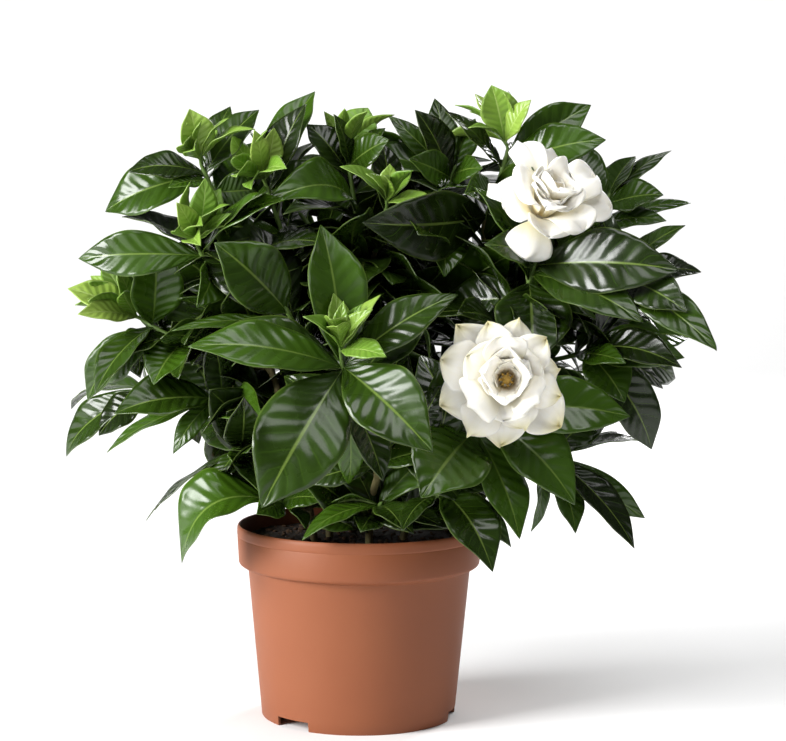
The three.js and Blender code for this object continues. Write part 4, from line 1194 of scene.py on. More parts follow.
# %% Petal form
CLAW = 0.25
CLAW_END = 0.7
SHOULDER_CURVE = 1.5
SHOULDERS = (0.76, 0.48)
END_ROUNDS = (0.5, 1)
END_CROWDING = 1.3
POINT_SPAN = (0.6, 1)
SIDE_ROLL = 0.7
TIP_ROLL = 0.5
TIP_ROLL_START = 0.6
PETAL_TWIST = (-0.35, 0.35)
PETAL_WAVE = 0.07
WAVES_ACROSS = 0.6
PETAL_RUFFLE = 0.012
RUFFLES_ACROSS = 2.1
POINT_DRAW, BEND_DRAW, RUFFLE_DRAW = 7, 5, 3


def petal_half(width, t, point):
    widened = between((CLAW, 1), math.sin(math.pi / 2 * min(1.0, t / CLAW_END)))
    closing = 1 - past(t, between(SHOULDERS, point)) ** SHOULDER_CURVE
    return width / 2 * widened * closing ** between(END_ROUNDS, point)


def petal_surface(path, across, width, form, wave):
    cup, curl, point = form
    point *= drawn(POINT_SPAN, wave, POINT_DRAW)
    twist = drawn(PETAL_TWIST, wave, BEND_DRAW)

    def place(share, s):
        t = 1 - (1 - share) ** END_CROWDING
        face = across.cross(path.tangent(t)).normalized()
        half = petal_half(width, t, point)
        rolled = SIDE_ROLL * s**4 * t**2 + TIP_ROLL * past(t, TIP_ROLL_START) ** 2
        wide = PETAL_WAVE * width * math.sin(2 * math.pi * (WAVES_ACROSS * s + wave)) * t**2
        crimp = math.sin(2 * math.pi * (RUFFLES_ACROSS * s + RUFFLE_DRAW * wave))
        ruffle = PETAL_RUFFLE * width * crimp * t**3
        lift = half * (cup * s * s + twist * s * t) - curl * width / 2 * rolled + wide + ruffle
        return path.point(t) + across * s * half + face * lift

    return place


print("half of a petal 28 mm wide, halfway up", petal_half(28, 0.5, 0))

# %% Outer petals
CLAW_RING = 5
CLAW_RISE = 0.14
PETAL_STEP = 3
CURL_SPAN = (0.2, 0.3)


def outer_petal(heart, axis, petal, k, layers, pointed):
    u, v, y, width, lift, cup = petal
    step = PETAL_STEP if k % 2 else -PETAL_STEP
    tip = seen(u, v, y - step)
    reach = tip - heart
    outward = (reach - reach.project(axis)).normalized()
    root = heart + CLAW_RING * outward + CLAW_RISE * reach.dot(axis) * axis
    path = Curve(root, root.lerp(tip, 0.5) + (lift + step) * axis, tip)
    age = 1 - k / layers
    return path, outward.cross(axis), width, (cup, between(CURL_SPAN, age), pointed * age)


print("petals placed by hand", sum(len(flower["petals"]) for flower in FLOWERS.values()))

# %% Furled petals
FURLED_COUNT = 10
FURLED_SPIN = 2.4
FURLED_ROOT = (3, 14)
FURLED_KNEE = (7, 20)
FURLED_OUTER = (13.5, 29)
FURLED_INNER = (6.5, 25)
FURLED_WIDTHS = (17, 10)
FURLED_FORM = (0.55, 0.15, 0.1)
FURLED_BEND = 0.25


def furled_petal(heart, axis, k):
    outward = round_axis(axis, k * FURLED_SPIN)

    def at(ring, height):
        return heart + ring * outward + height * axis

    share = k / (FURLED_COUNT - 1)
    tip = at(*FURLED_OUTER).lerp(at(*FURLED_INNER), share)
    knee = at(*FURLED_KNEE).lerp(tip, FURLED_BEND * (1 - share))
    path = Curve(at(*FURLED_ROOT), knee, tip)
    return path, outward.cross(axis), between(FURLED_WIDTHS, share), FURLED_FORM


print("furled petals a flower", FURLED_COUNT)

# %% Flower pieces
HEART_FORM = [(-5, 2.5), (-3, 6), (0, 7), (5, 6.5), (12, 4.6), (17, 3.4), (19, 1.5)]
HEART_RADIUS = 8
PETAL_THICKNESS = 0.6
PETAL_GRID = (28, 20)
POINTED = 1
BLUNT = 0.1
FRESH = 0.45
TUBE_LENGTH = 14
TUBE_FLARE = (2, 4.5)
TUBE_STEPS = 8
ROUND_SIDES = 4
SEAT = 0.3


def flower_axes(flower):
    return seen(*flower["heart"]), Vector(flower["axis"]).normalized()


def upright(heart, axis, form):
    return [(heart + axis * height, radius) for height, radius in form]


def flower_mesh(flower, draw):
    heart, axis = flower_axes(flower)
    petals = flower["petals"]
    count = len(petals) + FURLED_COUNT
    pointed = POINTED if flower.get("stigma") else BLUNT
    forms = [outer_petal(heart, axis, petal, k, count, pointed) for k, petal in enumerate(petals)]
    forms += [furled_petal(heart, axis, k) for k in range(FURLED_COUNT)]
    bm = bmesh.new()
    youth = 0 if flower.get("stigma") else FRESH
    for k, form in enumerate(forms):
        blade_sheet(bm, *PETAL_GRID, petal_surface(*form, next(draw)), between((youth, 1), k / count))
    blades = thick(bm, PETAL_THICKNESS)
    tube = [(TUBE_LENGTH * (t - 1), between(TUBE_FLARE, t**2)) for t in even_shares(TUBE_STEPS)]
    rods = [upright(heart, axis, form) for form in (tube, HEART_FORM)]
    return joined([blades, painted(tubes(rods, ROUND_SIDES))])


print("petals", sum(len(flower["petals"]) + FURLED_COUNT for flower in FLOWERS.values()))

# %% [markdown]
# ## Calyx
# Below the petals a green cup with narrow sepals holds the flower's tube. It grows from the end of the
# shoot, so it is part of the shoot's piece and takes its skin.

# %% Calyx
CALYX_LENGTH = 10
CALYX_RADIUS = 2.6
CALYX_STEPS = 8
CALYX_SWELL = (0.55, 1)
CALYX_TURN = 2.1
STALK_STEPS = 12
STALK_RADIUS = 1.3
STALK_BEND = 0.5


def calyx_seat(flower):
    heart, axis = flower_axes(flower)
    return heart - (TUBE_LENGTH + SEAT) * axis, axis


def calyx_paths(flower, shoot):
    seat, axis = calyx_seat(flower)
    start = seat - CALYX_LENGTH * axis
    bend = Curve(shoot["curve"].controls[-1], start - STALK_BEND * CALYX_LENGTH * axis, start)
    stalk = [(bend.point(t), STALK_RADIUS) for t in even_shares(STALK_STEPS)]
    cup = []
    for t in even_shares(CALYX_STEPS):
        cup.append((start.lerp(seat, t), CALYX_RADIUS * between(CALYX_SWELL, math.sin(CALYX_TURN * t))))
    return [stalk, cup]


for name, flower in FLOWERS.items():
    print(name, "sits at", tuple(calyx_seat(flower)[0]))

# %% Sepals
SEPAL_COUNT = 6
SEPAL_LENGTH = 13
SEPAL_SPREAD = 6
SEPAL_WIDTH = 3
SEPAL_ARCH = 0.05
SEPAL_DROP = 3
SEPAL_SINK = 1
SEPAL_GRID = (12, 4)


def sepals_mesh(flower, tree, draw):
    seat, axis = calyx_seat(flower)
    bm = bmesh.new()
    for k in range(SEPAL_COUNT):
        out = round_axis(axis, k * 2 * math.pi / SEPAL_COUNT)
        base = seat - SEPAL_DROP * axis + (CALYX_RADIUS - SEPAL_SINK) * out
        tip = base + SEPAL_LENGTH * axis + SEPAL_SPREAD * out
        sepal = {"base": base, "tip": tip, "width": SEPAL_WIDTH, "look": -axis}
        sepal.update({"turn": 0, "arch": SEPAL_ARCH, "fold": 0})
        if tip_fits(sepal, tree):
            blade_sheet(bm, *SEPAL_GRID, leaf_surface(sepal, 0), next(draw))
    return thick(bm, LEAF_THICKNESS)


print("sepals a flower", SEPAL_COUNT)

# %% [markdown]
# ## Leafy shoots
# A shoot is one piece: its green stem with a small swelling at each node, and its leaves with the stalk
# and midrib standing out below. Large leaves get a finer grid than small ones.

# %% Green stems
BUD_LENGTH = 3.5
BUD_FORM = [(0.25, 0.9), (0.5, 0.7), (1, 0.15)]
STEM_STEPS = 24
STEM_TAPER = 0.12
NODE_SWELL = 0.18
NODE_LENGTH = 1.2
FAR_NODES = {0.5, 0.92}


def stem_path(shoot, radius, bud):
    curve = shoot["curve"]
    length = (curve.controls[-1] - curve.controls[0]).length
    nodes = {round(min(entry[0], LAST_NODE), 2) for entry in shoot["leaves"]} or FAR_NODES
    path = []
    for t in even_shares(STEM_STEPS):
        swell = sum(math.exp(-(((t - node) * length / NODE_LENGTH) ** 2)) for node in nodes)
        path.append((curve.point(t), radius * (1 - STEM_TAPER * t) * (1 + NODE_SWELL * min(swell, 1))))
    if bud:
        end, ahead = curve.point(1), curve.tangent(1)
        path += [(end + ahead * BUD_LENGTH * share, radius * form) for share, form in BUD_FORM]
    return path


print("points along a stem", STEM_STEPS + 1)

# %% Shoot pieces
SHOOT_RADIUS = 1.4
TIP_RADIUS = 1.0
LARGE = 20
LARGE_GRID = (44, 12)
SMALL_GRID = (28, 8)
INNER_GRID = (16, 6)
INNER_TONE = 0.5


def shoot_mesh(name, shoot, draw):
    carrying = {entry.get("on") for entry in SHOOTS.values()}
    flowering = {entry["shoot"] for entry in FLOWERS.values()}
    young = name.startswith("growth")
    bud = name not in carrying | flowering
    bm = bmesh.new()
    for leaf in shoot["found"]:
        grid = LARGE_GRID if leaf["width"] > LARGE else SMALL_GRID
        blade_sheet(bm, *grid, leaf_surface(leaf, next(draw)), next(draw))
    for leaf in shoot["inner"]:
        blade_sheet(bm, *INNER_GRID, leaf_surface(leaf, next(draw)), INNER_TONE * next(draw))
    blades = thick(bm, LEAF_THICKNESS)
    ribs = painted(tubes([leaf_rib(leaf) for leaf in shoot["found"]], RIB_SIDES), UNDER)
    paths = [stem_path(shoot, TIP_RADIUS if young else SHOOT_RADIUS, bud)]
    parts = [blades, ribs]
    for flower in FLOWERS.values():
        if flower["shoot"] == name:
            paths += calyx_paths(flower, shoot)
            parts.append(sepals_mesh(flower, trees[name], draw))
    return joined([*parts, painted(tubes(paths), SKIN)])


print("grids", LARGE_GRID, SMALL_GRID, INNER_GRID)

# %% [markdown]
# ## Finishes
# Every finish is a Principled shader whose colour and relief come from nodes. Colours are written as
# the eye reads them, in sRGB, and one function turns them to linear. Another adds any node with its
# settings and links, and hands back its outputs. A pattern's scale follows from a real width in mm.

# %% Colours and scales
def linear(code):
    parts = [int(code[k : k + 2], 16) / 255 for k in (1, 3, 5)]
    tuned = [part / 12.92 if part <= 0.04045 else ((part + 0.055) / 1.055) ** 2.4 for part in parts]
    return (*tuned, 1)


def every(width):
    return 1 / (width * MM)


print("a pattern every 2 mm has the scale", every(2))

# %% Node tools
SMOOTH = {"interpolation_type": "SMOOTHSTEP"}
COLOURS = {"data_type": "RGBA"}
FACTOR, FIRST, SECOND, MIXED = 0, 6, 7, 2
WAX_IOR = 1.45


def new_finish(name):
    finish = bpy.data.materials.new(name)
    finish.use_nodes = True
    finish.node_tree.nodes.clear()
    return finish, finish.node_tree


def add(tree, kind, inputs=None, **settings):
    part = tree.nodes.new(f"ShaderNode{kind}")
    for key, value in settings.items():
        setattr(part, key, value)
    for key, value in (inputs or {}).items():
        if isinstance(value, bpy.types.NodeSocket):
            tree.links.new(value, part.inputs[key])
        else:
            part.inputs[key].default_value = value
    return part.outputs


def finished(tree, inputs):
    surface = add(tree, "BsdfPrincipled", inputs)[0]
    add(tree, "OutputMaterial", {"Surface": surface})


def grained_finish(name, tints, width, detail, relief, rough):
    finish, tree = new_finish(name)
    place = add(tree, "TexCoord")["Object"]
    grain = add(tree, "TexNoise", {"Vector": place, "Scale": every(width), "Detail": detail})[0]
    dark, light = (linear(code) for code in tints)
    colour = add(tree, "Mix", {FACTOR: grain, FIRST: dark, SECOND: light}, **COLOURS)[MIXED]
    strength, height = relief
    bump = add(tree, "Bump", {"Strength": strength, "Distance": height * MM, "Height": grain})[0]
    finished(tree, {"Base Color": colour, "Roughness": rough, "Normal": bump, "IOR": WAX_IOR})
    return finish


print("finishes so far", len(bpy.data.materials))

# %% [markdown]
# ## The leaf's waxy skin
# A gardenia leaf is leathery and waxed: dark and glossy above, paler and duller below, with a light
# midrib, sunken side veins and a thin pale margin. The veins are drawn from the blade's own map, so
# they sweep forward from the midrib however the leaf is bent. An image would do it too, but a rule
# stays sharp at any distance. Young leaves share the pattern in yellow green.

# %% Veins
VEIN_STRAY = 0.05
STRAY_WIDTH = 14
MARK_SPANS = {
    "vein": ("bulge", 0.22, 0.04), "midrib": ("side", 0.055, 0.015), "margin": ("side", 0.95, 1.0),
    "fading": ("side", 0.95, 0.6), "inside": ("side", 1.0, 0.8), "outside": ("side", 0.0, 0.18),
}


def vein_marks(tree):
    across, along, _ = add(tree, "SeparateXYZ", {0: add(tree, "UVMap", uv_map="blade")[0]})
    offset = add(tree, "Math", {0: across, 1: 2.0, 2: -1.0}, operation="MULTIPLY_ADD")[0]
    side = add(tree, "Math", {0: offset}, operation="ABSOLUTE")[0]
    place = add(tree, "TexCoord")["Object"]
    stray = add(tree, "TexNoise", {"Vector": place, "Scale": every(STRAY_WIDTH), "Detail": 1})[0]
    swept = add(tree, "Math", {0: side, 1: -VEIN_SWEEP, 2: along}, operation="MULTIPLY_ADD")[0]
    swept = add(tree, "Math", {0: stray, 1: VEIN_STRAY, 2: swept}, operation="MULTIPLY_ADD")[0]
    turn = add(tree, "Math", {0: swept, 1: math.pi * VEIN_PAIRS}, operation="MULTIPLY")[0]
    arc = add(tree, "Math", {0: turn}, operation="SINE")[0]
    drawn_from = {"side": side, "bulge": add(tree, "Math", {0: arc}, operation="ABSOLUTE")[0]}
    marks = {}
    for mark, (source, low, high) in MARK_SPANS.items():
        span = {"Value": drawn_from[source], "From Min": low, "From Max": high}
        marks[mark] = add(tree, "MapRange", span, **SMOOTH)[0]
    vein = add(tree, "Math", {0: marks["vein"], 1: marks["fading"]}, operation="MULTIPLY")[0]
    quilt = add(tree, "Math", {0: arc, 1: arc}, operation="MULTIPLY")[0]
    for edge in ("inside", "outside"):
        quilt = add(tree, "Math", {0: quilt, 1: marks[edge]}, operation="MULTIPLY")[0]
    return vein, marks["midrib"], marks["margin"], quilt, place


print("vein pairs drawn", VEIN_PAIRS)

# %% Leaf finish
PATCH_WIDTH = 22
PATCH_SHARE = 0.7
TONES = (0.25, 1.45)
MARK_STRENGTHS = (0.12, 0.4, 0.2)
GLOSS_PATCHES = (0.3, 0.7)
GRAIN_WIDTH = 1.4
GRAIN_SHARE = 0.06
SWELL = 1.1


# Living cuticle, a wax film over swollen cells. It gives broad soft highlights that break over the
# swellings between the veins. The cells' own grain is finer than this, and drawn coarse to show.
def leaf_finish(name, colours, gloss, relief):
    dark, light, vein_tint, rib_tint = (linear(code) for code in colours)
    finish, tree = new_finish(name)
    *marks, quilt, place = vein_marks(tree)
    patches = add(tree, "TexNoise", {"Vector": place, "Scale": every(PATCH_WIDTH), "Detail": 3})[0]
    tone = add(tree, "Attribute", attribute_name="tone")["Fac"]
    share = add(tree, "Math", {0: patches, 1: PATCH_SHARE, 2: tone}, operation="MULTIPLY_ADD")[0]
    low, high = TONES
    share = add(tree, "MapRange", {"Value": share, "From Min": low, "From Max": high}, **SMOOTH)[0]
    colour = add(tree, "Mix", {FACTOR: share, FIRST: dark, SECOND: light}, **COLOURS)[MIXED]
    for mark, strength, pale in zip(marks, MARK_STRENGTHS, (vein_tint, rib_tint, rib_tint)):
        shown = add(tree, "Math", {0: mark, 1: strength}, operation="MULTIPLY")[0]
        colour = add(tree, "Mix", {FACTOR: shown, FIRST: colour, SECOND: pale}, **COLOURS)[MIXED]
    grain = add(tree, "TexNoise", {"Vector": place, "Scale": every(GRAIN_WIDTH), "Detail": 2})[0]
    level = add(tree, "Math", {0: grain, 1: GRAIN_SHARE, 2: quilt}, operation="MULTIPLY_ADD")[0]
    bump = add(tree, "Bump", {"Strength": relief, "Distance": SWELL * MM, "Height": level})[0]
    span = dict(zip(("From Min", "From Max", "To Min", "To Max"), (*GLOSS_PATCHES, *gloss)))
    rough = add(tree, "MapRange", {"Value": patches, **span}, **SMOOTH)[0]
    finished(tree, {"Base Color": colour, "Roughness": rough, "Normal": bump, "IOR": WAX_IOR})
    return finish


OLD_UPPER = ("#121d04", "#35520e", "#4f7222", "#849c49")
OLD_UNDER = ("#3d5524", "#66823c", "#7d9650", "#97ab66")
YOUNG_UPPER = ("#5c8226", "#8faa48", "#a3ba5e", "#b8c880")
YOUNG_UNDER = ("#769838", "#a4bc58", "#b2c86c", "#c4d488")
leaf_upper = leaf_finish("waxed_leaf_upper", OLD_UPPER, gloss=(0.2, 0.34), relief=0.32)
leaf_under = leaf_finish("matt_leaf_underside", OLD_UNDER, gloss=(0.54, 0.68), relief=0.4)
young_upper = leaf_finish("soft_young_leaf", YOUNG_UPPER, gloss=(0.3, 0.44), relief=0.25)
young_under = leaf_finish("young_leaf_underside", YOUNG_UNDER, gloss=(0.44, 0.58), relief=0.2)
print("leaf finishes", leaf_upper.name, leaf_under.name, young_upper.name, young_under.name)

# %% [markdown]
# ## Skin of the shoots, and the shoots dressed
# A shoot's skin is plain beside its leaves: one noise tints it and swells it a little. Then each shoot
# is built as one piece that stands for its solid, with a material each for the blades' upper sides,
# their undersides and the stem.

# %% Shoot skin
PATCH = {"width": 6, "detail": 3, "relief": (0.3, 0.3), "rough": 0.5}

# Young stem skin, smooth, still green and a little patchy. It has a satin look.
green_skin = grained_finish("green_shoot_skin", ("#3f5a24", "#6f8a3e"), **PATCH)
print("shoot skin", green_skin.name)

# %% Dress the shoots
LEAF_SEED = 21

draw = seeded(LEAF_SEED)
for name, shoot in shoots.items():
    young = name.startswith("growth")
    finishes = (young_upper, young_under) if young else (leaf_upper, leaf_under)
    slot = "young_leaf" if young else "leaf"
    dressed(shoot_mesh(name, shoot, draw), name, slot, *finishes, green_skin)
print("shoots dressed", len(shoots))

# %% [markdown]
# ## Petals
# Gardenia petals are thick and waxy, so a little light passes into them and softens their shading. They
# are pure white in the middle, greenish at the claw and turn cream where the oldest curl over. The
# innermost claws are gold: partly their own yellow, partly a painted glow of light shining through them.

# %% Petal finish
THREADS = (26, 2.2, 1)
THREAD_RELIEF = 0.3
PASSED_LIGHT = (1.0, 0.85, 0.6)
PETAL_SPANS = {
    "claw": ("along", 0.5, 0.1), "rim": ("along", 0.6, 1),
    "outer": ("tone", 0.5, 0.25), "inner": ("tone", 0.6, 0.9),
}
# The fourth tint is the gold of the innermost claws, their own yellow deepened by a painted glow.
PETAL_TINTS = ("#fcf7e8", "#fffdf6", "#f2e9c0", "#efcb6c", "#dbd08a")


# Living petal, thick and faintly furrowed along its length. Light enters it a little and comes out
# warm, and its fine down brightens it where it turns away.
def petal_finish():
    finish, tree = new_finish("waxy_petal")
    shade, white, green, heart_gold_and_glow, cream = (linear(code) for code in PETAL_TINTS)
    uv = add(tree, "UVMap", uv_map="blade")[0]
    along = add(tree, "SeparateXYZ", {0: uv})[1]
    drawn_from = {"along": along, "tone": add(tree, "Attribute", attribute_name="tone")["Fac"]}
    marks = {}
    for mark, (source, low, high) in PETAL_SPANS.items():
        span = {"Value": drawn_from[source], "From Min": low, "From Max": high}
        marks[mark] = add(tree, "MapRange", span)[0]
    aged = add(tree, "Math", {0: marks["rim"], 1: marks["outer"]}, operation="MULTIPLY")[0]
    stretch = add(tree, "Mapping", {"Vector": uv, "Scale": THREADS})[0]
    threads = add(tree, "TexNoise", {"Vector": stretch, "Scale": 1, "Detail": 3})[0]
    colour = add(tree, "Mix", {FACTOR: threads, FIRST: shade, SECOND: white}, **COLOURS)[MIXED]
    # Painted glow: the innermost claws are tinted gold to stand in for light passing through the petals.
    base = add(tree, "Mix", {FACTOR: marks["inner"], FIRST: green, SECOND: heart_gold_and_glow}, **COLOURS)[MIXED]
    for mark, tint in ((marks["claw"], base), (aged, cream)):
        colour = add(tree, "Mix", {FACTOR: mark, FIRST: colour, SECOND: tint}, **COLOURS)[MIXED]
    bump = add(tree, "Bump", {"Strength": 0.25, "Distance": THREAD_RELIEF * MM, "Height": threads})[0]
    surface = {"Base Color": colour, "Roughness": 0.42, "Normal": bump, "IOR": WAX_IOR}
    down = {"Sheen Weight": 0.8, "Sheen Roughness": 0.5}
    depth = {"Subsurface Weight": 0.2, "Subsurface Radius": PASSED_LIGHT, "Subsurface Scale": 2 * MM}
    finished(tree, {**surface, **down, **depth})
    return finish


waxy_petal = petal_finish()
print("petal finish", waxy_petal.name)

# %% Dress the flowers
PETAL_SEED = 5

draw = seeded(PETAL_SEED)
for name, flower in FLOWERS.items():
    dressed(flower_mesh(flower, draw), name, "petal", waxy_petal)
print("flowers dressed", list(FLOWERS))

# %% [markdown]
# ## Stigma
# In the heart a golden club, the stigma, stands between a few spent anthers. They are short round
# rods, so each is a curve with a bevel whose radius swells and tapers along its height.

# %% Stigma
CLUB_FORM = [(14, 0.9), (17, 1.2), (18.5, 2.1), (20.5, 2.5), (22.4, 2.2), (23.8, 0.9)]
ANTHER_COUNT = 7
ANTHER_FORM = [(9, 2.4, 0.9), (13, 2.8, 0.85), (17, 3, 0.8), (20, 3.5, 0.75), (21.5, 2.6, 0.7)]
POLLEN = {"width": 1.1, "detail": 2, "relief": (0.6, 0.3), "rough": 0.6}


def stigma_mesh(flower):
    heart, axis = flower_axes(flower)
    club = [(HEART_RADIUS + SEAT, CLUB_FORM[0][1]), *CLUB_FORM]
    paths = [upright(heart, axis, club)]
    for k in range(ANTHER_COUNT):
        out = round_axis(axis, 2 * math.pi * k / ANTHER_COUNT)
        paths.append([(heart + axis * height + out * ring, radius) for height, ring, radius in ANTHER_FORM])
    return painted(tubes(paths, ROUND_SIDES))


# Pollen-dusted flesh, dry and grainy, so it scatters light and shows no highlight.
grainy_stigma = grained_finish("grainy_stigma", ("#74541a", "#c8a550"), **POLLEN)
for name, flower in FLOWERS.items():
    if flower.get("stigma"):
        dressed(stigma_mesh(flower), f"{name}_stigma", "stigma", grainy_stigma)
        print("stigma with anthers", ANTHER_COUNT)

# %% [markdown]
# ## Woody stems
# The old wood is thin, pale grey-brown and finely cracked along its length. Each stem is one tapering
# tube with its branches rising out of it.

# %% Bark finish
CRACK_WIDTH = 1.4
CRACK_STRETCH = 0.25
ALGAE_WIDTH = 17
ALGAE_SHARE = 0.6
BARK_TINTS = ("#54452c", "#8d7d56", "#6d7040")


# Weathered bark, cracked as the stem thickened. The cracks run along the stem and dull it, and algae
# tint it green in patches.
def bark_finish():
    dark, light, green = (linear(code) for code in BARK_TINTS)
    finish, tree = new_finish("thin_bark")
    place = add(tree, "TexCoord")["Object"]
    stretch = add(tree, "Mapping", {"Vector": place, "Scale": (1, 1, CRACK_STRETCH)})[0]
    cracks = add(tree, "TexNoise", {"Vector": stretch, "Scale": every(CRACK_WIDTH), "Detail": 4})[0]
    patches = add(tree, "TexNoise", {"Vector": place, "Scale": every(ALGAE_WIDTH), "Detail": 2})[0]
    algae = add(tree, "Math", {0: patches, 1: ALGAE_SHARE}, operation="MULTIPLY")[0]
    colour = add(tree, "Mix", {FACTOR: cracks, FIRST: dark, SECOND: light}, **COLOURS)[MIXED]
    colour = add(tree, "Mix", {FACTOR: algae, FIRST: colour, SECOND: green}, **COLOURS)[MIXED]
    bump = add(tree, "Bump", {"Strength": 0.7, "Distance": 0.4 * MM, "Height": cracks})[0]
    finished(tree, {"Base Color": colour, "Roughness": 0.8, "Normal": bump, "IOR": WAX_IOR})
    return finish


thin_bark = bark_finish()
print("bark", thin_bark.name)

# %% Dress the wood
TRUNK_RADIUS = 2.346
TRUNK_TAPER = 0.196
TRUNK_STEPS = 32
BRANCH_RADIUS = 1.7
BRANCH_TAPER = 0.14
BRANCH_STEPS = 14


def tapering(curve, count, start, taper):
    return [(curve.point(t), start * (1 - taper * t)) for t in even_shares(count)]


def wood_paths(name, curve):
    paths = [tapering(curve, TRUNK_STEPS, TRUNK_RADIUS, TRUNK_TAPER)]
    for shoot in shoots.values():
        if shoot["from"] and shoot["from"][0] == name:
            branch = branch_curve(curve, shoot["from"][1], shoot["curve"])
            paths.append(tapering(branch, BRANCH_STEPS, BRANCH_RADIUS, BRANCH_TAPER))
    return paths


for name, entry in WOOD.items():
    dressed(painted(tubes(wood_paths(name, wood_curve(entry)))), name, "bark", thin_bark)
print("woody stems dressed", len(WOOD))

# %% [markdown]
# ## Pot
# The pot is injection moulded in matte polypropylene: a thin tapering shell with a broad rim band, a
# fine bead under the lip, a raised floor with drain holes, and notches in its foot. Half its section is
# drawn as a chain of edges and spun, and the holes are cut by Booleans.

# %% Pot section
POT_STEPS = 144
POT_SECTION = [
    (0, 6.4), (54.4, 6.4), (53.9, 0.2), (54.2, 0), (55.2, 0), (55.5, 0.4), (56.13, 7), (56.35, 9.3),
    (63.55, 84.6), (63.9, 85.7), (64.8, 86.3), (67.6, 87.2), (68.5, 87.8), (68.95, 88.6),
    (69.05, 89.6), (69.85, 103.2), (69.65, 103.7), (69.95, 104.3), (70, 105), (70, 107.4),
    (69.85, 108.7), (69.5, 109.5), (69.0, 109.95), (68.5, 109.9), (68.25, 109.3), (68.2, 107.5),
    (67.4, 89), (62.1, 85), (54.92, 10.3), (54.7, 8), (0, 8),
]


def spun(section, count):
    bm = bmesh.new()
    chain = [bm.verts.new((radius * MM, 0, z * MM)) for radius, z in section]
    edges = [bm.edges.new(pair) for pair in zip(chain, chain[1:])]
    whole = {"axis": UP, "cent": (0, 0, 0), "angle": 2 * math.pi, "steps": count, "use_merge": True}
    bmesh.ops.spin(bm, geom=chain + edges, **whole)
    bmesh.ops.remove_doubles(bm, verts=bm.verts[:], dist=MERGE)
    bmesh.ops.recalc_face_normals(bm, faces=bm.faces[:])
    return bm


print("points of the pot's section", len(POT_SECTION))

# %% Notches and drain holes
NOTCH_BEARINGS = [-131, -11, 109]
NOTCH_HEIGHT = 5.4
NOTCH_WIDTH = 23
NOTCH_DEPTH = 20
FOOT_RADIUS = 55.5
DRAIN_RADIUS = 4
DRAIN_CIRCLE = 40
DRAIN_COUNT = 6
DRAIN_LEVEL = 7.2
DRAIN_DEPTH = 10
DRAIN_SIDES = 32


def pot_cutters():
    bm = bmesh.new()
    for bearing in NOTCH_BEARINGS:
        turn = Matrix.Rotation(math.radians(bearing), 4, "Z")
        size = Matrix.Diagonal(Vector((NOTCH_DEPTH, NOTCH_WIDTH, 2 * NOTCH_HEIGHT)) * MM).to_4x4()
        spot = turn @ Matrix.Translation((FOOT_RADIUS * MM, 0, 0))
        bmesh.ops.create_cube(bm, size=1, matrix=spot @ size)
    for k in range(DRAIN_COUNT):
        turn = Matrix.Rotation(2 * math.pi * k / DRAIN_COUNT, 4, "Z")
        spot = turn @ Matrix.Translation(Vector((DRAIN_CIRCLE, 0, DRAIN_LEVEL)) * MM)
        drill = {"radius1": DRAIN_RADIUS * MM, "radius2": DRAIN_RADIUS * MM, "depth": DRAIN_DEPTH * MM}
        bmesh.ops.create_cone(bm, cap_ends=True, segments=DRAIN_SIDES, matrix=spot, **drill)
    return object_from(mesh_from(bm), "cutters")


def cut(bm, cutters):
    whole = object_from(mesh_from(bm), "whole")
    boolean = whole.modifiers.new("cut", "BOOLEAN")
    boolean.operation = "DIFFERENCE"
    boolean.object = cutters
    mesh = baked(whole)
    bpy.data.objects.remove(cutters)
    return mesh


print("notches", len(NOTCH_BEARINGS), "drain holes", DRAIN_COUNT)

# %% Pot finish
CREASE = 35
CLOUD_WIDTH = 36
GRIT_WIDTH = 0.55
RING_HEIGHT = 2.4
RING_SHARE = 0.6
POT_TINTS = ("#854b2f", "#8e5436")
POT_GLOSS = {"To Min": 0.48, "To Max": 0.6}


# Polypropylene, injection moulded against a lightly blasted tool. It is satin, not shiny, and faint
# rings and clouds follow how it filled the mould. The tool's grit is drawn coarse enough to show.
def pot_finish():
    dark, light = (linear(code) for code in POT_TINTS)
    finish, tree = new_finish("moulded_polypropylene")
    place = add(tree, "TexCoord")["Object"]
    clouds = add(tree, "TexNoise", {"Vector": place, "Scale": every(CLOUD_WIDTH), "Detail": 4})[0]
    grit = add(tree, "TexNoise", {"Vector": place, "Scale": every(GRIT_WIDTH), "Detail": 2})[0]
    flat = add(tree, "Mapping", {"Vector": place, "Scale": (1, 1, CLOUD_WIDTH / RING_HEIGHT)})[0]
    rings = add(tree, "TexNoise", {"Vector": flat, "Scale": every(CLOUD_WIDTH), "Detail": 2})[0]
    colour = add(tree, "Mix", {FACTOR: clouds, FIRST: dark, SECOND: light}, **COLOURS)[MIXED]
    level = add(tree, "Math", {0: rings, 1: RING_SHARE, 2: grit}, operation="MULTIPLY_ADD")[0]
    bump = add(tree, "Bump", {"Strength": 0.25, "Distance": 0.12 * MM, "Height": level})[0]
    rough = add(tree, "MapRange", {"Value": clouds, **POT_GLOSS}, **SMOOTH)[0]
    surface = {"Base Color": colour, "Roughness": rough, "Normal": bump}
    finished(tree, {**surface, "IOR": 1.49, "Specular IOR Level": 0.3})
    return finish


pot = dressed(cut(spun(POT_SECTION, POT_STEPS), pot_cutters()), "pot", "pot", pot_finish())
pot.data.set_sharp_from_angle(angle=math.radians(CREASE))
print("pot faces", len(pot.data.polygons))

# %% [markdown]
# ## Soil
# Peat and bark soil is dark, uneven and full of crumbs. A spun block with a noisy top carries it, and a
# few hundred small chips lie on top.

# %% Soil chips
SOIL_TOP = POT_HEIGHT - SOIL_DROP
SOIL_RELIEF = [(1.1, 0.06), (0.8, 0.25), (0.4, 0.7)]
CHIP_COUNT = 320
CHIP_REACH = 64
CHIP_SIZE = (0.7, 2.5)
CHIP_FINENESS = 3
CHIP_RISE = 0.2
CHIP_TILT = 0.6
CHIP_FLATNESS = 0.6
CHIP_SEED = 3


def soil_height(x, y):
    spot = Vector((x, y, 0))
    return sum(height * noise.noise(spot * pitch) for height, pitch in SOIL_RELIEF)


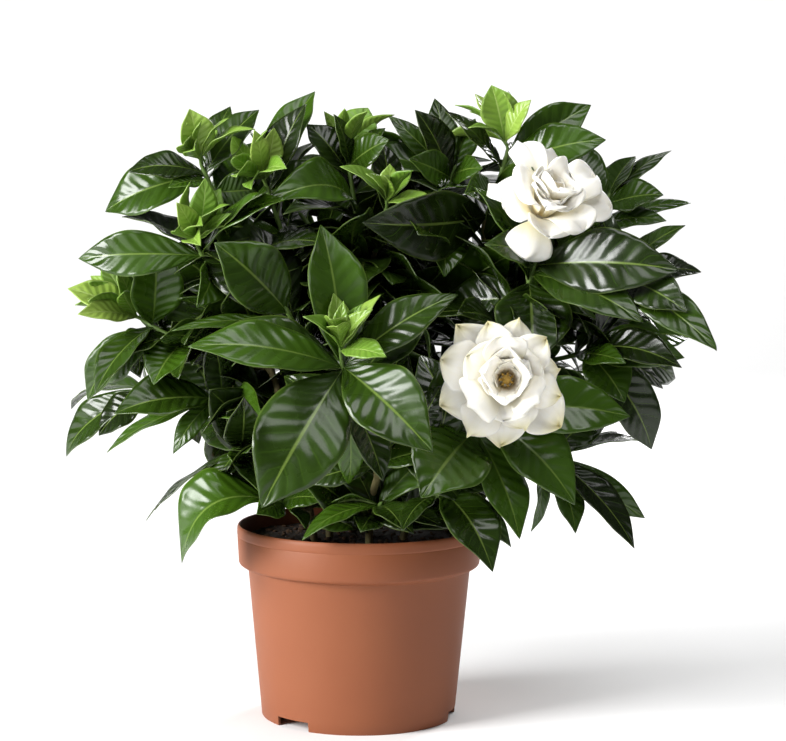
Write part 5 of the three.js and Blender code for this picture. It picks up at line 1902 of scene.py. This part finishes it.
def chip_matrix(draw):
    radius, bearing = CHIP_REACH * math.sqrt(next(draw)), 2 * math.pi * next(draw)
    x, y = radius * math.cos(bearing), radius * math.sin(bearing)
    size = between(CHIP_SIZE, next(draw) ** CHIP_FINENESS)
    spot = Matrix.Translation(Vector((x, y, SOIL_TOP + soil_height(x, y) + CHIP_RISE * size)) * MM)
    turn = Matrix.Rotation(2 * math.pi * next(draw), 4, "Z")
    turn = turn @ Matrix.Rotation(CHIP_TILT * next(draw), 4, "X")
    form = Matrix.Diagonal(Vector((1 + next(draw), 1, CHIP_FLATNESS)) * size * MM).to_4x4()
    return spot @ turn @ form


print("height of the soil at its middle", SOIL_TOP + soil_height(0, 0))

# %% Soil block
SOIL_STEPS = 96
SOIL_RINGS = 26
SOIL_EDGE = 66.8
SOIL_SECTION = [(0, 8.4), (53.9, 8.4), (61.4, 85), (SOIL_EDGE, 89.4)]
SOIL_LEVEL_BAND = 0.1


def soil_mesh():
    rings = [(SOIL_EDGE * ring / SOIL_RINGS, SOIL_TOP) for ring in range(SOIL_RINGS, -1, -1)]
    bm = spun(SOIL_SECTION + rings, SOIL_STEPS)
    for vert in bm.verts:
        if vert.co.z > (SOIL_TOP - SOIL_LEVEL_BAND) * MM:
            vert.co.z += soil_height(vert.co.x / MM, vert.co.y / MM) * MM
    draw = seeded(CHIP_SEED)
    block = set(bm.faces)
    for _ in range(CHIP_COUNT):
        bmesh.ops.create_icosphere(bm, subdivisions=1, radius=1, matrix=chip_matrix(draw))
    for face in bm.faces:
        face.material_index = int(face not in block)
    return mesh_from(bm)


CLODS = {"width": 3.8, "detail": 6, "relief": (1, 1.5), "rough": 0.95}

# Moist peat and shredded bark, loose and open, so it swallows light and shows only crumbs.
peat = grained_finish("moist_peat", ("#0f0b08", "#3a2c20"), **CLODS)
chips = grained_finish("bark_chips", ("#1d140d", "#5a4029"), **CLODS)
dressed(soil_mesh(), "soil", "soil", peat, chips)
print("soil chips", CHIP_COUNT)

# %% [markdown]
# ## Stage and light
# The plant stands on a pale sweep under soft studio light: a broad key from the left front, and a
# light behind on the right that draws silver edges on the leaves.

# %% Stage
SWEEP_REACH = 4
SWEEP_ROUND = 1.5
SWEEP_STEPS = 12

# Studio paper, uncoated, so it stays evenly pale.
paper, tree = new_finish("studio_paper")
finished(tree, {"Base Color": linear("#f2f2f2"), "Roughness": 0.9})


def sweep():
    bm = bmesh.new()
    bmesh.ops.create_grid(bm, x_segments=1, y_segments=1, size=SWEEP_REACH)
    back = [edge for edge in bm.edges if all(vert.co.y > 0 for vert in edge.verts)]
    wall = bmesh.ops.extrude_edge_only(bm, edges=back)
    raised = [part for part in wall["geom"] if isinstance(part, bmesh.types.BMVert)]
    bmesh.ops.translate(bm, verts=raised, vec=(0, 0, SWEEP_REACH))
    round_form = {"offset": SWEEP_ROUND, "offset_type": "OFFSET", "segments": SWEEP_STEPS}
    bmesh.ops.bevel(bm, geom=back, affect="EDGES", profile=0.5, material=-1, **round_form)
    return object_from(mesh_from(bm), "studio_sweep", paper)


floor = sweep()
floor.data.shade_smooth()
floor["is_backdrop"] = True
print("sweep faces", len(floor.data.polygons))

# %% Lights
LIGHTS = {
    "key": {"place": (-1.6, -0.86, 0.85), "aim": (0, 0, 0.2), "size": 1.0, "watts": 76},
    "top": {"place": (0.25, -0.75, 1.6), "aim": (0.05, 0, 0.25), "size": 1.0, "watts": 14},
    "edge": {"place": (0.8, 1.4, 1.0), "aim": (0.05, 0, 0.22), "size": 0.5, "watts": 18},
    "backdrop": {"place": (0, 2.2, 2.4), "aim": (0, 3.9, 0.6), "size": 2.5, "watts": 62},
}
AMBIENT = {"Color": (1, 1, 1, 1), "Strength": 0.08}


def soft_light(name, place, aim, size, watts):
    lamp = bpy.data.lights.new(name, "AREA")
    lamp.size = size
    lamp.energy = watts
    lit = bpy.data.objects.new(name, lamp)
    bpy.context.collection.objects.link(lit)
    spot = Vector(place)
    turn = (Vector(aim) - spot).to_track_quat("-Z", "Y")
    lit.matrix_world = Matrix.LocRotScale(spot, turn, None)


for name, light in LIGHTS.items():
    soft_light(name, **light)
world = bpy.data.worlds.new("studio")
bpy.context.scene.world = world
world.use_nodes = True
for key, value in AMBIENT.items():
    world.node_tree.nodes["Background"].inputs[key].default_value = value
bpy.context.scene.view_settings.view_transform = "Standard"
print("lights", list(LIGHTS))

# %% [markdown]
# ## Camera
# The camera stands at the eye that every leaf was laid out from, a long lens looking slightly down, so
# each leaf falls where it is seen in the picture. A camera looks along its own -Z axis, and its pitch
# turns that from straight down to nearly level.

# %% Camera
EYE_PITCH = 84.6
EYE_ROLL = 0.46
EYE_LENS = 105.0
EYE_SENSOR = 36.0

camera = bpy.data.objects.new("viewer", bpy.data.cameras.new("viewer"))
bpy.context.collection.objects.link(camera)
camera.data.lens = EYE_LENS
camera.data.sensor_width = EYE_SENSOR
pitch = Matrix.Rotation(math.radians(EYE_PITCH), 4, "X")
roll = Matrix.Rotation(math.radians(EYE_ROLL), 4, "Z")
camera.matrix_world = Matrix.Translation(EYE * MM) @ pitch @ roll
bpy.context.scene.camera = camera
print("camera at", tuple(camera.location))

# %% [markdown]
# ## Sizes
# The finished model must not outgrow the solids, so both boxes are set side by side.

# %% Sizes and triangles
visual_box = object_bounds()
boxes = {"cad": cad_box, "visual": visual_box}
{key: [list(corner) for corner in box] for key, box in boxes.items()}
triangles = 0
for piece in bpy.data.objects:
    if piece.name.startswith("fine_"):
        triangles += sum(len(face.vertices) - 2 for face in piece.data.polygons)
print("visual box", visual_box, "triangles", triangles)
